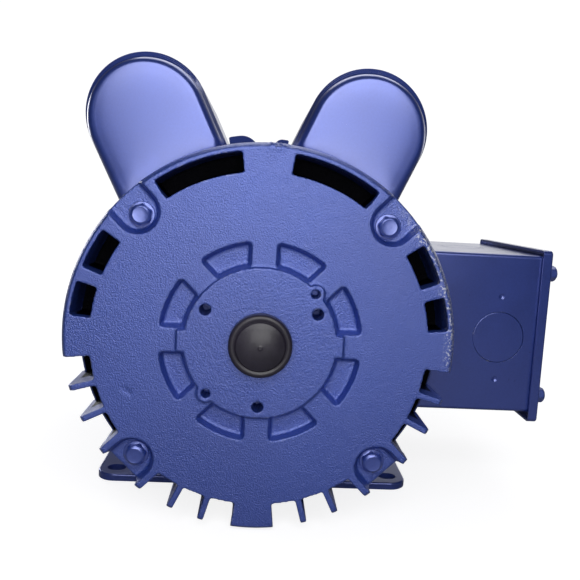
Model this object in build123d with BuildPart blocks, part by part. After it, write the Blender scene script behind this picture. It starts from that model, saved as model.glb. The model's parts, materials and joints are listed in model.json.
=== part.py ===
from build123d import *
from math import atan2, cos, degrees, radians, sin, sqrt
import os

# Foot mounted, open drip-proof, single-phase motor.
# Millimetres. The origin is the centre of the base bolt pattern, on the underside of the base.
# +Z is up, +Y runs along the shaft towards its free end, +X is the conduit box side.

os.makedirs("parts", exist_ok=True)

# ---------------------------------------------------------------- driving dimensions
SHAFT_H = 114.3            # shaft height above the floor
BOLT_X = 190.5             # base slot spacing across the motor
BOLT_Y = 139.7             # base slot spacing along the motor
SLOT_W = 10.3
SLOT_L = 13.0
SHOULDER_Y = 139.7         # shaft shoulder
SHAFT_END = 209.55
SHAFT_R = 14.2875
SEAT_GAP = 0.03            # gap left in press seats
RUN_GAP = 0.05             # radial gap of running fits

# frame
SHELL_R = 109.0
SHELL_WALL = 4.0
SHELL_IN = SHELL_R - SHELL_WALL
BASE_A = 215.0
BASE_B = 165.1
BASE_T = 4.8

# endshields
FACE_Y = -150.0            # outer face of the rear endshield
REAR_Y = -114.0            # rear endshield meets the shell here
DRIVE_Y = 92.0             # drive endshield meets the shell here
MIRROR_Y = (REAR_Y + DRIVE_Y) / 2
DISC_R = 97.1
WINDOW_R = 108.7
RIM_R = 113.6
RIM_FRONT_R = 110.9        # the rim's outer corner is cast round, from here at the face
RIM_ROUND = 6.0            # depth over which it grows to full size
FIN_R = 113.0
PLATE_T = 6.5
BOLT_CIRCLE = 98.9
BOLT_R = 3.1
PAD_DEEP = 7.0
PAD_HALF = 12.8
PAD_DRAFT = 17.0           # draft of the recess walls, in degrees
PAD_WALL = 4.0
PAD_END_R = 101.4          # centre of the round end of a pad recess
PAD_CHORD = 109.8          # the lower recesses are cut off straight at this radius
FIN_W = 3.7
HUB_R = 43.7
HUB_RISE = 2.3
POCKET_R = 58.6
POCKET_DEEP = 6.0
POCKET_DRAFT = 16.0        # draft of the pocket walls, in degrees
POCKET_ROUND = 2.5
BACK_R = 63.0              # thicker back behind the pockets
BACK_T = 4.0
WEB_W = 14.0
BOSS_R = 46.0
PLUG_HOLE_R = 17.0
PLUG_R = 18.15

# electrical
CORE_Y0 = -42.0
CORE_Y1 = 58.0
BORE_R = 62.5
ROTOR_R = 62.1
SLOTS = 36
BARS = 44
CORE_SEAT_R = 19.0

# bearings: bore radius, outside radius, width, ball radius, number of balls, position
REAR_BEARING = dict(bore=12.5, out=26.0, width=15.0, ball=3.97, count=9, y=-141.5)
DRIVE_BEARING = dict(bore=15.0, out=31.0, width=16.0, ball=4.76, count=9, y=102.0)
BALL_GAP = 0.2
RACE_T = 4.0

# governor and start switch
GOV_SHAFT_R = 15.5
GOV_PLATE_Y = -86.0
GOV_PIVOT_Y = -97.0
GOV_PIVOT_R = 32.0
COLLAR_Y0 = -112.0
COLLAR_Y1 = -92.0
SWITCH_Y = -119.0
ARM_PIVOT_X = -48.0
ARM_PIVOT_Y = -112.7

# capacitor covers: side, centre of the round end from the shaft, lean to the left
COVERS = [("left", -76.5, 127.9, 25.9), ("right", 62.0, 125.9, -24.2)]
COVER_R = 37.3
COVER_STEP = 2.0
COVER_RISE = 4.0
COVER_Y0 = -100.0
COVER_Y1 = 65.0
COVER_LIP = 13.0
SHEET_T = 1.2

# conduit box
BOX_X0 = 110.5
BOX_X1 = 193.5
BOX_Y0 = -76.0
BOX_Y1 = 56.0
BOX_Z0 = 57.5
BOX_Z1 = 167.5
BOX_T = 1.6
LID_X = 195.0
LID_T = 1.5
LID_OVER = 3.0
LID_Z0 = 51.2
LID_Z1 = 171.4
LID_FLANGE = 6.5
KNOCKOUT_R = 17.6
INNER_KNOCKOUT_R = 14.1
KNOCKOUT_X = 164.5
KNOCKOUT_Z = 110.0
LID_SCREW_Y = (-71.5, 51.5)
LID_SCREW_Z = (69.4, 155.5)
FIX_SPOTS = [(-20.0, SHAFT_H), (30.0, SHAFT_H)]
DIMPLE_Z = (80.5, 138.5)
LEAD_Y = -58.0
LEAD_Z = 106.0
LEAD_R = 9.0

SHAFT_LINE = Axis((0, 0, SHAFT_H), (0, 1, 0))
LENGTHWISE = Plane(origin=(0, 0, SHAFT_H), x_dir=(0, 1, 0), z_dir=(1, 0, 0))


# ---------------------------------------------------------------- helpers
def across(y):
    """Plane across the shaft at y: local x is +X, local y is +Z, the normal is -Y."""
    return Plane(origin=(0, y, SHAFT_H), x_dir=(1, 0, 0), z_dir=(0, -1, 0))


def spot(radius, angle):
    """Local point at a radius and an angle in degrees."""
    return (radius * cos(radians(angle)), radius * sin(radians(angle)))


def turned(points):
    """Solid of revolution about the shaft line from (y, radius) corners."""
    with BuildPart() as body:
        with BuildSketch(LENGTHWISE):
            with BuildLine():
                Polyline(*points, close=True)
            make_face()
        revolve(axis=SHAFT_LINE)
    return body.part


def ring(y0, y1, r_in, r_out):
    """Plain ring about the shaft line, or a disc where r_in is zero."""
    with BuildPart() as body:
        with BuildSketch(across(y0)):
            Circle(r_out)
            if r_in > 0:
                Circle(r_in, mode=Mode.SUBTRACT)
        extrude(amount=y0 - y1)
    return body.part


def sector(plane, r_in, r_out, start, end):
    """Ring sector of less than a half turn, between two angles."""
    far = 4 * r_out
    middle = (start + end) / 2
    with BuildSketch(plane) as shape:
        Circle(r_out)
        Circle(r_in, mode=Mode.SUBTRACT)
        with BuildLine():
            Polyline((0, 0), spot(far, start), spot(far, middle), spot(far, end), close=True)
        make_face(mode=Mode.INTERSECT)
    return shape.sketch


def radial_bar(plane, angle, r_in, r_out, width, aside=0.0):
    """Rectangle that lies along a radius, or beside it by a sideways distance."""
    along = (r_in + r_out) / 2
    x = along * cos(radians(angle)) - aside * sin(radians(angle))
    z = along * sin(radians(angle)) + aside * cos(radians(angle))
    with BuildSketch(plane) as shape:
        with Locations(Location((x, z, 0), (0, 0, angle))):
            Rectangle(r_out - r_in, width)
    return shape.sketch


def radial_plane(angle, y, radius):
    """Plane facing away from the shaft at an angle, local x along the shaft."""
    x, z = spot(radius, angle)
    out_x, out_z = spot(1, angle)
    return Plane(origin=(x, y, SHAFT_H + z), x_dir=(0, 1, 0), z_dir=(out_x, 0, out_z))


def rods(plane, points, radius, length):
    """Round rods that stand on a plane at local points."""
    with BuildPart() as body:
        with BuildSketch(plane):
            with Locations(*points):
                Circle(radius)
        extrude(amount=length)
    return body.part


def block(x0, x1, y0, y1, z0, z1):
    """Plain block between two corners."""
    with BuildPart() as body:
        with BuildSketch(Plane.XY.offset(z0)):
            with Locations(((x0 + x1) / 2, (y0 + y1) / 2)):
                Rectangle(x1 - x0, y1 - y0)
        extrude(amount=z1 - z0)
    return body.part


def hex_head(plane, points, flats, height, washer_r, washer_t):
    """Hex washer heads that stand on a plane."""
    with BuildPart() as body:
        with BuildSketch(plane):
            with Locations(*points):
                Circle(washer_r)
        extrude(amount=washer_t)
        with BuildSketch(plane.offset(washer_t)):
            with Locations(*points):
                RegularPolygon(flats / 2, 6, major_radius=False)
        extrude(amount=height)
        with BuildSketch(plane.offset(washer_t + height)):
            with Locations(*points):
                Circle(flats / 2 - 1.0)
        extrude(amount=0.5)
    return body.part


def keep(name, part):
    """Label a finished piece and write it."""
    part.label = name
    export_step(part, "parts/" + name + ".step")


FACE = across(FACE_Y)
BOLT_ANGLES = (45, 135, 225, 315)
BOLT_SPOTS = [spot(BOLT_CIRCLE, angle) for angle in BOLT_ANGLES]

# ---------------------------------------------------------------- frame shell and base
with BuildPart() as frame_shell:
    add(ring(REAR_Y, DRIVE_Y, SHELL_IN, SHELL_R))
    with BuildSketch(Plane.YZ.offset(SHELL_IN - 10)):
        with Locations((LEAD_Y, LEAD_Z)):
            Circle(LEAD_R)
    extrude(amount=30, mode=Mode.SUBTRACT)
keep("frame_shell", frame_shell.part)

with BuildPart() as base_plate:
    with BuildSketch(Plane.XY):
        RectangleRounded(BASE_A, BASE_B, 12)
        with GridLocations(BOLT_X, BOLT_Y, 2, 2):
            SlotOverall(SLOT_L, SLOT_W, mode=Mode.SUBTRACT)
    extrude(amount=BASE_T)
    fillet(base_plate.faces().sort_by(Axis.Z)[-1].outer_wire().edges(), radius=1.2)
keep("base_plate", base_plate.part)

SADDLE_HALF = 62.0
SADDLE_TALL = 38.0
SADDLE_T = 5.0
with BuildPart() as base_saddles:
    for saddle_y in (-62.0, 57.0):
        with BuildSketch(Plane(origin=(0, saddle_y, 0), x_dir=(1, 0, 0), z_dir=(0, -1, 0))):
            with BuildLine():
                Polyline(
                    (-SADDLE_HALF, BASE_T),
                    (SADDLE_HALF, BASE_T),
                    (SADDLE_HALF, BASE_T + 12),
                    (SADDLE_HALF - 8, SADDLE_TALL),
                    (8 - SADDLE_HALF, SADDLE_TALL),
                    (-SADDLE_HALF, BASE_T + 12),
                    close=True,
                )
            make_face()
            with Locations((0, SHAFT_H)):
                Circle(SHELL_R, mode=Mode.SUBTRACT)
        extrude(amount=SADDLE_T)
keep("base_saddles", base_saddles.part)

# ---------------------------------------------------------------- endshields
WINDOWS = [(54.8, 82.1), (21.3, 33.8), (6.3, 16.7)]
RIB_ANGLES = [(4.4, 3.7), (19.0, 7.5), (35.6, 3.7), (53.0, 3.7), (84.0, 3.7)]
FIN_ANGLES = [196, 206, 244, 254]
FIN_ROOT_R = 92.0
BOTTOM_TAB = (263.5, 276.5)
TAB_DEEP = 8.0
NOTCH_START = 186.7


def both_sides(angles):
    """The angles, and their mirror images about the vertical."""
    return list(angles) + [180 - angle for angle in angles]


def rounding_ring():
    """What is taken off the outer corner of the rim to round it."""
    corner = [(FACE_Y + RIM_ROUND, RIM_R)]
    for share in (0.5, 0.2, 0.0):
        lost = (RIM_R - RIM_FRONT_R) * (1 - share) ** 2
        corner.append((FACE_Y + share * RIM_ROUND, RIM_R - lost))
    front_y = FACE_Y - 1
    far_r = RIM_R + 6
    return turned(corner + [(front_y, RIM_FRONT_R), (front_y, far_r), (FACE_Y + RIM_ROUND, far_r)])


def endshield_casting():
    """Cast endshield without its bearing hub, as it stands at the rear."""
    plate_in = FACE_Y + PLATE_T
    with BuildPart() as casting:
        add(ring(FACE_Y, plate_in, 0, DISC_R))
        # rim: front ring and side wall, left out below the notch line
        add(ring(FACE_Y, plate_in, DISC_R - 1, RIM_R))
        add(ring(FACE_Y, REAR_Y, WINDOW_R, RIM_R))
        extrude(
            sector(FACE, DISC_R, RIM_R + 5, NOTCH_START, 360 - (NOTCH_START - 180)),
            amount=FACE_Y - REAR_Y,
            mode=Mode.SUBTRACT,
        )
        # windows in the upper half of the rim
        for start, end in WINDOWS:
            extrude(sector(FACE, DISC_R, WINDOW_R, start, end), amount=-PLATE_T, mode=Mode.SUBTRACT)
            mirrored = sector(FACE, DISC_R, WINDOW_R, 180 - end, 180 - start)
            extrude(mirrored, amount=-PLATE_T, mode=Mode.SUBTRACT)
        # ring that seats on the shell, with its spigot
        add(ring(REAR_Y - 8, REAR_Y, 98.0, 109.5))
        add(ring(REAR_Y - 8, REAR_Y + 4, 99.5, SHELL_IN - SEAT_GAP))
        # ribs behind the rim and open fins below it
        for angle, width in RIB_ANGLES:
            for side in (angle, 180 - angle):
                extrude(radial_bar(across(FACE_Y + 1), side, 88, 110, width), amount=FACE_Y + 1 - REAR_Y)
        for angle in both_sides(FIN_ANGLES):
            extrude(radial_bar(FACE, angle, FIN_ROOT_R, FIN_R, FIN_W), amount=FACE_Y - REAR_Y)
        extrude(sector(FACE, FIN_ROOT_R, FIN_R, *BOTTOM_TAB), amount=-TAB_DEEP)
        for angle in (BOTTOM_TAB[0] + 1.1, BOTTOM_TAB[1] - 1.1):
            extrude(radial_bar(FACE, angle, FIN_ROOT_R, FIN_R - 1, FIN_W), amount=FACE_Y - REAR_Y)
        # through bolt pads, their U shaped recesses and the columns under them
        pad_width = 2 * (PAD_HALF + PAD_WALL)
        pad_end = sqrt(RIM_R**2 - (pad_width / 2) ** 2)
        for angle in BOLT_ANGLES:
            extrude(radial_bar(FACE, angle, 82, pad_end, pad_width), amount=-PLATE_T - PAD_DEEP)
            with BuildSketch(FACE):
                with Locations(spot(BOLT_CIRCLE, angle)):
                    Circle(9)
            extrude(amount=FACE_Y - REAR_Y)
            for aside in (-PAD_HALF - PAD_WALL / 2, PAD_HALF + PAD_WALL / 2):
                wall = radial_bar(across(FACE_Y + 2), angle, 90, pad_end - 0.3, PAD_WALL - 0.6, aside)
                extrude(wall, amount=FACE_Y + 2 - REAR_Y)
        for angle in BOLT_ANGLES:
            with BuildSketch(FACE):
                with Locations(spot(PAD_END_R, angle)):
                    Circle(PAD_HALF)
                add(radial_bar(Plane.XY, angle, PAD_END_R, RIM_R + 20, 2 * PAD_HALF))
            extrude(amount=-PAD_DEEP, taper=PAD_DRAFT, mode=Mode.SUBTRACT)
        with BuildSketch(across(FACE_Y)):
            with Locations(*BOLT_SPOTS):
                Circle(BOLT_R + 0.3)
        extrude(amount=FACE_Y - REAR_Y - 10, mode=Mode.SUBTRACT)
        # lower pads end in a straight chord between their fins
        for angle in (225, 315):
            chord = radial_bar(FACE, angle, PAD_CHORD, 130, 2 * PAD_HALF)
            extrude(chord, amount=FACE_Y - REAR_Y + 9, mode=Mode.SUBTRACT)
        add(rounding_ring(), mode=Mode.SUBTRACT)
    return casting.part


def pockets(y):
    """Eight shallow pockets round the hub, on the plane across the shaft at y."""
    with BuildSketch(across(y)) as shape:
        Circle(POCKET_R)
        Circle(HUB_R + 0.5, mode=Mode.SUBTRACT)
        for angle in (0, 45, 90, 135):
            Rectangle(2 * POCKET_R + 2, WEB_W, rotation=angle, mode=Mode.SUBTRACT)
        fillet(shape.vertices(), radius=POCKET_ROUND)
    return shape.sketch


def hub_plate(y):
    """Outline of the raised hub plate with its bumps and lobes."""
    with BuildSketch(across(y)) as shape:
        Circle(HUB_R)
        for angle in (0, 180):
            with Locations(Location((*spot(HUB_R, angle), 0), (0, 0, angle))):
                Rectangle(8, 12.5)
        for angle in (45, 225):
            with Locations(spot(42.5, angle)):
                Circle(5.2)
    return shape.sketch


CASTING = endshield_casting()
SEAT_Y = FACE_Y + PAD_DEEP
HUB_FACE_Y = FACE_Y - HUB_RISE
BACK_Y = FACE_Y + PLATE_T + BACK_T

with BuildPart() as rear_endshield:
    add(CASTING)
    extrude(hub_plate(FACE_Y), amount=HUB_RISE)
    add(ring(FACE_Y, REAR_BEARING["y"] + REAR_BEARING["width"] + 5, 0, BOSS_R))
    add(ring(FACE_Y + 1, BACK_Y, 0, BACK_R))
    extrude(pockets(FACE_Y), amount=-POCKET_DEEP, taper=POCKET_DRAFT, mode=Mode.SUBTRACT)
    add(
        ring(REAR_BEARING["y"] - 1.5, REAR_BEARING["y"] + 30, 0, REAR_BEARING["out"] + SEAT_GAP),
        mode=Mode.SUBTRACT,
    )
    add(ring(HUB_FACE_Y - 1, FACE_Y + 20, 0, PLUG_HOLE_R), mode=Mode.SUBTRACT)
    with BuildSketch(across(HUB_FACE_Y)):
        with Locations(spot(37, 30), spot(37, 150), spot(37, 270)):
            Circle(3.2)
    extrude(amount=-16, mode=Mode.SUBTRACT)
    with BuildSketch(across(HUB_FACE_Y)):
        with Locations(spot(42.5, 45), spot(42.5, 225)):
            Circle(2.6)
    extrude(amount=-12, mode=Mode.SUBTRACT)
keep("rear_endshield", rear_endshield.part)

DRIVE_FACE_Y = 2 * MIRROR_Y - FACE_Y
CAP_SCREW_R = 38.0
CAP_SCREW_SPOTS = [spot(CAP_SCREW_R, angle) for angle in (90, 210, 330)]
CAP_Y0 = 95.0
with BuildPart() as drive_endshield:
    mirror(CASTING, about=Plane.XZ.offset(-MIRROR_Y))
    add(ring(DRIVE_BEARING["y"] - 1, DRIVE_FACE_Y + HUB_RISE, 0, BOSS_R))
    seat_end_y = DRIVE_BEARING["y"] + DRIVE_BEARING["width"]
    add(
        ring(DRIVE_BEARING["y"] - 5, seat_end_y, 0, DRIVE_BEARING["out"] + SEAT_GAP),
        mode=Mode.SUBTRACT,
    )
    add(ring(DRIVE_BEARING["y"], DRIVE_FACE_Y + 10, 0, DRIVE_BEARING["bore"] + 0.8), mode=Mode.SUBTRACT)
    with BuildSketch(across(DRIVE_BEARING["y"] - 5)):
        with Locations(*CAP_SCREW_SPOTS):
            Circle(2.6)
    extrude(amount=-50, mode=Mode.SUBTRACT)
keep("drive_endshield", drive_endshield.part)

with BuildPart() as rear_bearing_plug:
    add(
        turned(
            [
                (HUB_FACE_Y + 7, 0),
                (HUB_FACE_Y + 7, PLUG_HOLE_R - SEAT_GAP),
                (HUB_FACE_Y, PLUG_HOLE_R - SEAT_GAP),
                (HUB_FACE_Y, PLUG_R),
                (HUB_FACE_Y - 5.5, PLUG_R),
                (HUB_FACE_Y - 7, PLUG_R - 1.5),
                (HUB_FACE_Y - 7, 14.6),
                (HUB_FACE_Y - 6, 14.2),
                (HUB_FACE_Y - 9, 11.5),
                (HUB_FACE_Y - 10.5, 6),
                (HUB_FACE_Y - 11, 0),
            ]
        )
    )
keep("rear_bearing_plug", rear_bearing_plug.part)

# ---------------------------------------------------------------- through bolts
BOLT_HEAD = dict(flats=11.1, height=4.2, washer_r=7.4, washer_t=1.2)
NUT_SEAT_Y = DRIVE_FACE_Y - PAD_DEEP
NUT_T = 5.6
with BuildPart() as through_bolts:
    add(hex_head(across(SEAT_Y), BOLT_SPOTS, **BOLT_HEAD))
    add(rods(across(SEAT_Y), BOLT_SPOTS, BOLT_R, SEAT_Y - NUT_SEAT_Y - NUT_T - 3))
keep("through_bolts", through_bolts.part)

with BuildPart() as through_bolt_nuts:
    with BuildSketch(across(NUT_SEAT_Y)):
        with Locations(*BOLT_SPOTS):
            RegularPolygon(11.1 / 2, 6, major_radius=False)
            Circle(BOLT_R + SEAT_GAP, mode=Mode.SUBTRACT)
    extrude(amount=-NUT_T)
keep("through_bolt_nuts", through_bolt_nuts.part)


# ---------------------------------------------------------------- stator
def slot_shape(r_in, r_out, half_in, half_out):
    """One tapered winding slot along the local x direction."""
    with BuildSketch() as shape:
        with BuildLine():
            Polyline((r_in, -half_in), (r_out, -half_out), (r_out, half_out), (r_in, half_in), close=True)
        make_face()
    return shape.sketch


with BuildPart() as stator_core:
    with BuildSketch(across(CORE_Y0)):
        Circle(SHELL_IN - SEAT_GAP)
        Circle(BORE_R, mode=Mode.SUBTRACT)
        with PolarLocations(0, SLOTS):
            add(slot_shape(64.2, 85, 3.0, 4.8), mode=Mode.SUBTRACT)
        with PolarLocations(63, SLOTS):
            Rectangle(6, 2.4, mode=Mode.SUBTRACT)
        with Locations(*BOLT_SPOTS):
            Circle(4.5, mode=Mode.SUBTRACT)
        for angle in BOLT_ANGLES:
            add(radial_bar(Plane.XY, angle, BOLT_CIRCLE, 110, 9), mode=Mode.SUBTRACT)
    extrude(amount=CORE_Y0 - CORE_Y1)
keep("stator_core", stator_core.part)

HEAD_LEN = 30.0
with BuildPart() as main_winding:
    with BuildSketch(across(CORE_Y0 - 2)):
        with PolarLocations(0, SLOTS):
            add(slot_shape(74.6, 84.6, 3.4, 4.3))
    extrude(amount=CORE_Y0 - CORE_Y1 - 4)
    for end_y, way in ((CORE_Y0 - 1, -1), (CORE_Y1 + 1, 1)):
        add(
            turned(
                [
                    (end_y, 74.6),
                    (end_y + way * HEAD_LEN, 76),
                    (end_y + way * (HEAD_LEN + 3), 82),
                    (end_y + way * (HEAD_LEN - 1), 90),
                    (end_y + way * 6, 91),
                    (end_y, 86),
                ]
            )
        )
keep("main_winding", main_winding.part)

with BuildPart() as start_winding:
    with BuildSketch(across(CORE_Y0 - 2)):
        with PolarLocations(0, SLOTS):
            add(slot_shape(66.4, 74.0, 2.7, 3.3))
    extrude(amount=CORE_Y0 - CORE_Y1 - 4)
    for end_y, way in ((CORE_Y0 - 1, -1), (CORE_Y1 + 1, 1)):
        add(
            turned(
                [
                    (end_y, 66.4),
                    (end_y + way * (HEAD_LEN - 8), 66.4),
                    (end_y + way * (HEAD_LEN - 4), 70),
                    (end_y + way * (HEAD_LEN - 4), 74.2),
                    (end_y, 74.2),
                ]
            )
        )
keep("start_winding", start_winding.part)

with BuildPart() as slot_wedges:
    with BuildSketch(across(CORE_Y0 - 2)):
        with PolarLocations(65.3, SLOTS):
            Rectangle(1.4, 4.6)
    extrude(amount=CORE_Y0 - CORE_Y1 - 4)
keep("slot_wedges", slot_wedges.part)

# ---------------------------------------------------------------- shaft and rotor
KEYSEAT_W = 6.35
KEYSEAT_LEN = 45.2
KEYSEAT_FLOOR = 25.04      # height of the keyseat's floor over the underside of the shaft
RUN_OUT = 20.0             # how far a cut runs past the solid
with BuildPart() as shaft:
    add(
        turned(
            [
                (REAR_BEARING["y"], 0),
                (REAR_BEARING["y"], 11.5),
                (REAR_BEARING["y"] + 1, REAR_BEARING["bore"]),
                (REAR_BEARING["y"] + REAR_BEARING["width"], REAR_BEARING["bore"]),
                (REAR_BEARING["y"] + REAR_BEARING["width"], GOV_SHAFT_R),
                (CORE_Y0 - 25, GOV_SHAFT_R),
                (CORE_Y0 - 25, CORE_SEAT_R),
                (CORE_Y1 + 25, CORE_SEAT_R),
                (CORE_Y1 + 25, 17.5),
                (DRIVE_BEARING["y"], 17.5),
                (DRIVE_BEARING["y"], DRIVE_BEARING["bore"]),
                (SHOULDER_Y, DRIVE_BEARING["bore"]),
                (SHOULDER_Y, SHAFT_R),
                (SHAFT_END - 1.5, SHAFT_R),
                (SHAFT_END, SHAFT_R - 1.5),
                (SHAFT_END, 0),
            ]
        )
    )
    # keyseat, round at its inner end and open at the end of the shaft
    with BuildSketch(Plane.XY.offset(SHAFT_H - SHAFT_R + KEYSEAT_FLOOR)):
        with Locations((0, SHAFT_END + (RUN_OUT - KEYSEAT_LEN) / 2)):
            SlotOverall(KEYSEAT_LEN + RUN_OUT, KEYSEAT_W, rotation=90)
    extrude(amount=RUN_OUT, mode=Mode.SUBTRACT)
    # centre hole
    with BuildSketch(across(SHAFT_END)):
        Circle(3)
    extrude(amount=8, taper=20, mode=Mode.SUBTRACT)
keep("shaft", shaft.part)

BAR_SPOTS = [spot(56.5, 360 * index / BARS) for index in range(BARS)]
with BuildPart() as rotor_core:
    with BuildSketch(across(CORE_Y0)):
        Circle(ROTOR_R)
        Circle(CORE_SEAT_R + SEAT_GAP, mode=Mode.SUBTRACT)
        with Locations(*BAR_SPOTS):
            Circle(2.8, mode=Mode.SUBTRACT)
        with PolarLocations(31, 6):
            Circle(5, mode=Mode.SUBTRACT)
    extrude(amount=CORE_Y0 - CORE_Y1)
keep("rotor_core", rotor_core.part)

END_RING_T = 10.0
BLADE_LEN = 11.0
BLADES = 11
with BuildPart() as rotor_cage:
    add(rods(across(CORE_Y0 - 1), BAR_SPOTS, 2.7, CORE_Y0 - CORE_Y1 - 2))
    add(ring(CORE_Y0 - 0.1 - END_RING_T, CORE_Y0 - 0.1, 44, 60.5))
    add(ring(CORE_Y1 + 0.1, CORE_Y1 + 0.1 + END_RING_T, 44, 60.5))
    for blade_y in (CORE_Y0 - END_RING_T - BLADE_LEN, CORE_Y1 + END_RING_T - 0.1):
        for index in range(BLADES):
            blade = radial_bar(across(blade_y), index * 360 / BLADES, 45, 60, 3.2)
            extrude(blade, amount=-BLADE_LEN)
keep("rotor_cage", rotor_cage.part)


# ---------------------------------------------------------------- bearings
def races(data):
    """Outer and inner race of a deep groove ball bearing."""
    y0 = data["y"]
    y1 = y0 + data["width"]
    pitch = (data["bore"] + data["out"]) / 2
    groove_r = data["ball"] + BALL_GAP
    with BuildPart() as groove:
        with BuildSketch(LENGTHWISE):
            with Locations(((y0 + y1) / 2, pitch)):
                Circle(groove_r)
        revolve(axis=SHAFT_LINE)
    with BuildPart() as outer:
        add(ring(y0, y1, data["out"] - RACE_T, data["out"]))
        add(groove.part, mode=Mode.SUBTRACT)
    with BuildPart() as inner:
        add(ring(y0, y1, data["bore"] + SEAT_GAP, data["bore"] + RACE_T))
        add(groove.part, mode=Mode.SUBTRACT)
    return outer.part, inner.part


def balls_and_cage(data):
    """Balls on their pitch circle, and the ribbon cage that spaces them."""
    middle = data["y"] + data["width"] / 2
    pitch = (data["bore"] + data["out"]) / 2
    spots = [spot(pitch, 360 * index / data["count"]) for index in range(data["count"])]
    centres = [(x, middle, SHAFT_H + z) for x, z in spots]
    with BuildPart() as balls:
        with Locations(*centres):
            Sphere(data["ball"])
    with BuildPart() as cage:
        add(ring(middle - data["ball"] * 1.15, middle + data["ball"] * 1.15, pitch - 0.8, pitch + 0.8))
        for index in range(data["count"]):
            drill = radial_plane(360 * index / data["count"], middle, pitch - 3)
            add(rods(drill, [(0, 0)], data["ball"] + 0.12, 6), mode=Mode.SUBTRACT)
    return balls.part, cage.part


for bearing_name, bearing in (("rear", REAR_BEARING), ("drive", DRIVE_BEARING)):
    outer_race, inner_race = races(bearing)
    bearing_balls, bearing_cage = balls_and_cage(bearing)
    keep(bearing_name + "_outer_race", outer_race)
    keep(bearing_name + "_inner_race", inner_race)
    keep(bearing_name + "_bearing_balls", bearing_balls)
    keep(bearing_name + "_bearing_cage", bearing_cage)

with BuildPart() as wave_spring:
    add(ring(REAR_BEARING["y"] - 1.1, REAR_BEARING["y"] - 0.3, 21.5, 25.6))
keep("wave_spring", wave_spring.part)

with BuildPart() as drive_bearing_cap:
    add(ring(CAP_Y0, DRIVE_BEARING["y"] - 1, 18.5, 44))
    add(ring(DRIVE_BEARING["y"] - 1, DRIVE_BEARING["y"] - 0.1, 27.5, 30.8))
    with BuildSketch(across(CAP_Y0)):
        with Locations(*CAP_SCREW_SPOTS):
            Circle(2.5, mode=Mode.ADD)
    extrude(amount=-20, mode=Mode.SUBTRACT)
keep("drive_bearing_cap", drive_bearing_cap.part)

DRIVE_HUB_Y = DRIVE_FACE_Y + HUB_RISE
with BuildPart() as bearing_cap_screws:
    hub_plane = Plane(origin=(0, DRIVE_HUB_Y, SHAFT_H), x_dir=(-1, 0, 0), z_dir=(0, 1, 0))
    screw_spots = [(-x, z) for x, z in CAP_SCREW_SPOTS]
    add(hex_head(hub_plane, screw_spots, 8.0, 3.4, 4.8, 0.8))
    add(rods(hub_plane, screw_spots, 2.45, CAP_Y0 + 1 - DRIVE_HUB_Y))
keep("bearing_cap_screws", bearing_cap_screws.part)

# ---------------------------------------------------------------- governor
PIN_R = 1.5
TAB_X = 14.0
TAB_T = 1.5
with BuildPart() as governor_plate:
    add(ring(GOV_PLATE_Y, GOV_PLATE_Y + 1.5, GOV_SHAFT_R + SEAT_GAP, 40))
    add(ring(GOV_PLATE_Y, GOV_PLATE_Y + 9, GOV_SHAFT_R + SEAT_GAP, 19))
    for way in (1, -1):
        for side in (1, -1):
            x0 = side * TAB_X - TAB_T / 2
            z0 = SHAFT_H + way * GOV_PIVOT_R - 3.5
            add(block(x0, x0 + TAB_T, GOV_PIVOT_Y - 3.5, GOV_PLATE_Y + 0.5, z0, z0 + 7))
    for way in (1, -1):
        with BuildSketch(Plane.YZ.offset(-TAB_X - 5)):
            with Locations((GOV_PIVOT_Y, SHAFT_H + way * GOV_PIVOT_R)):
                Circle(PIN_R + SEAT_GAP)
        extrude(amount=2 * TAB_X + 10, mode=Mode.SUBTRACT)
keep("governor_plate", governor_plate.part)

with BuildPart() as governor_pins:
    for way in (1, -1):
        with BuildSketch(Plane.YZ.offset(-TAB_X - 2)):
            with Locations((GOV_PIVOT_Y, SHAFT_H + way * GOV_PIVOT_R)):
                Circle(PIN_R)
        extrude(amount=2 * TAB_X + 4)
keep("governor_pins", governor_pins.part)

GROOVE_Y0 = -101.0
GROOVE_Y1 = -96.0
with BuildPart() as governor_collar:
    add(
        turned(
            [
                (COLLAR_Y0, GOV_SHAFT_R + RUN_GAP),
                (COLLAR_Y0, 28),
                (COLLAR_Y0 + 2.5, 28),
                (COLLAR_Y0 + 2.5, 19),
                (GROOVE_Y0 - 2, 19),
                (GROOVE_Y0 - 2, 24),
                (GROOVE_Y0, 24),
                (GROOVE_Y0, 19),
                (GROOVE_Y1, 19),
                (GROOVE_Y1, 24),
                (GROOVE_Y1 + 2, 24),
                (GROOVE_Y1 + 2, 18.5),
                (COLLAR_Y1, 18.5),
                (COLLAR_Y1, GOV_SHAFT_R + RUN_GAP),
            ]
        )
    )
keep("governor_collar", governor_collar.part)


def governor_weight(way):
    """Bell crank weight above (1) or below (-1) the shaft: finger, pivot eye and mass."""
    finger_y = (GROOVE_Y0 + GROOVE_Y1) / 2
    eye_z = SHAFT_H + way * GOV_PIVOT_R
    tip_z = SHAFT_H + way * 20.5
    mass_z0 = SHAFT_H + way * 33.5
    mass_z1 = SHAFT_H + way * 43
    with BuildPart() as weight:
        add(block(-5, 5, finger_y - 1.2, finger_y + 1.2, min(tip_z, eye_z), max(tip_z, eye_z)))
        with BuildSketch(Plane.YZ.offset(-12)):
            with Locations((GOV_PIVOT_Y, eye_z)):
                Circle(3.2)
        extrude(amount=24)
        add(block(-12, 12, -97.5, -88.5, min(mass_z0, mass_z1), max(mass_z0, mass_z1)))
        with BuildSketch(Plane.YZ.offset(-13)):
            with Locations((GOV_PIVOT_Y, eye_z)):
                Circle(PIN_R + RUN_GAP)
        extrude(amount=26, mode=Mode.SUBTRACT)
    return weight.part


keep("governor_weight_upper", governor_weight(1))
keep("governor_weight_lower", governor_weight(-1))

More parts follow.
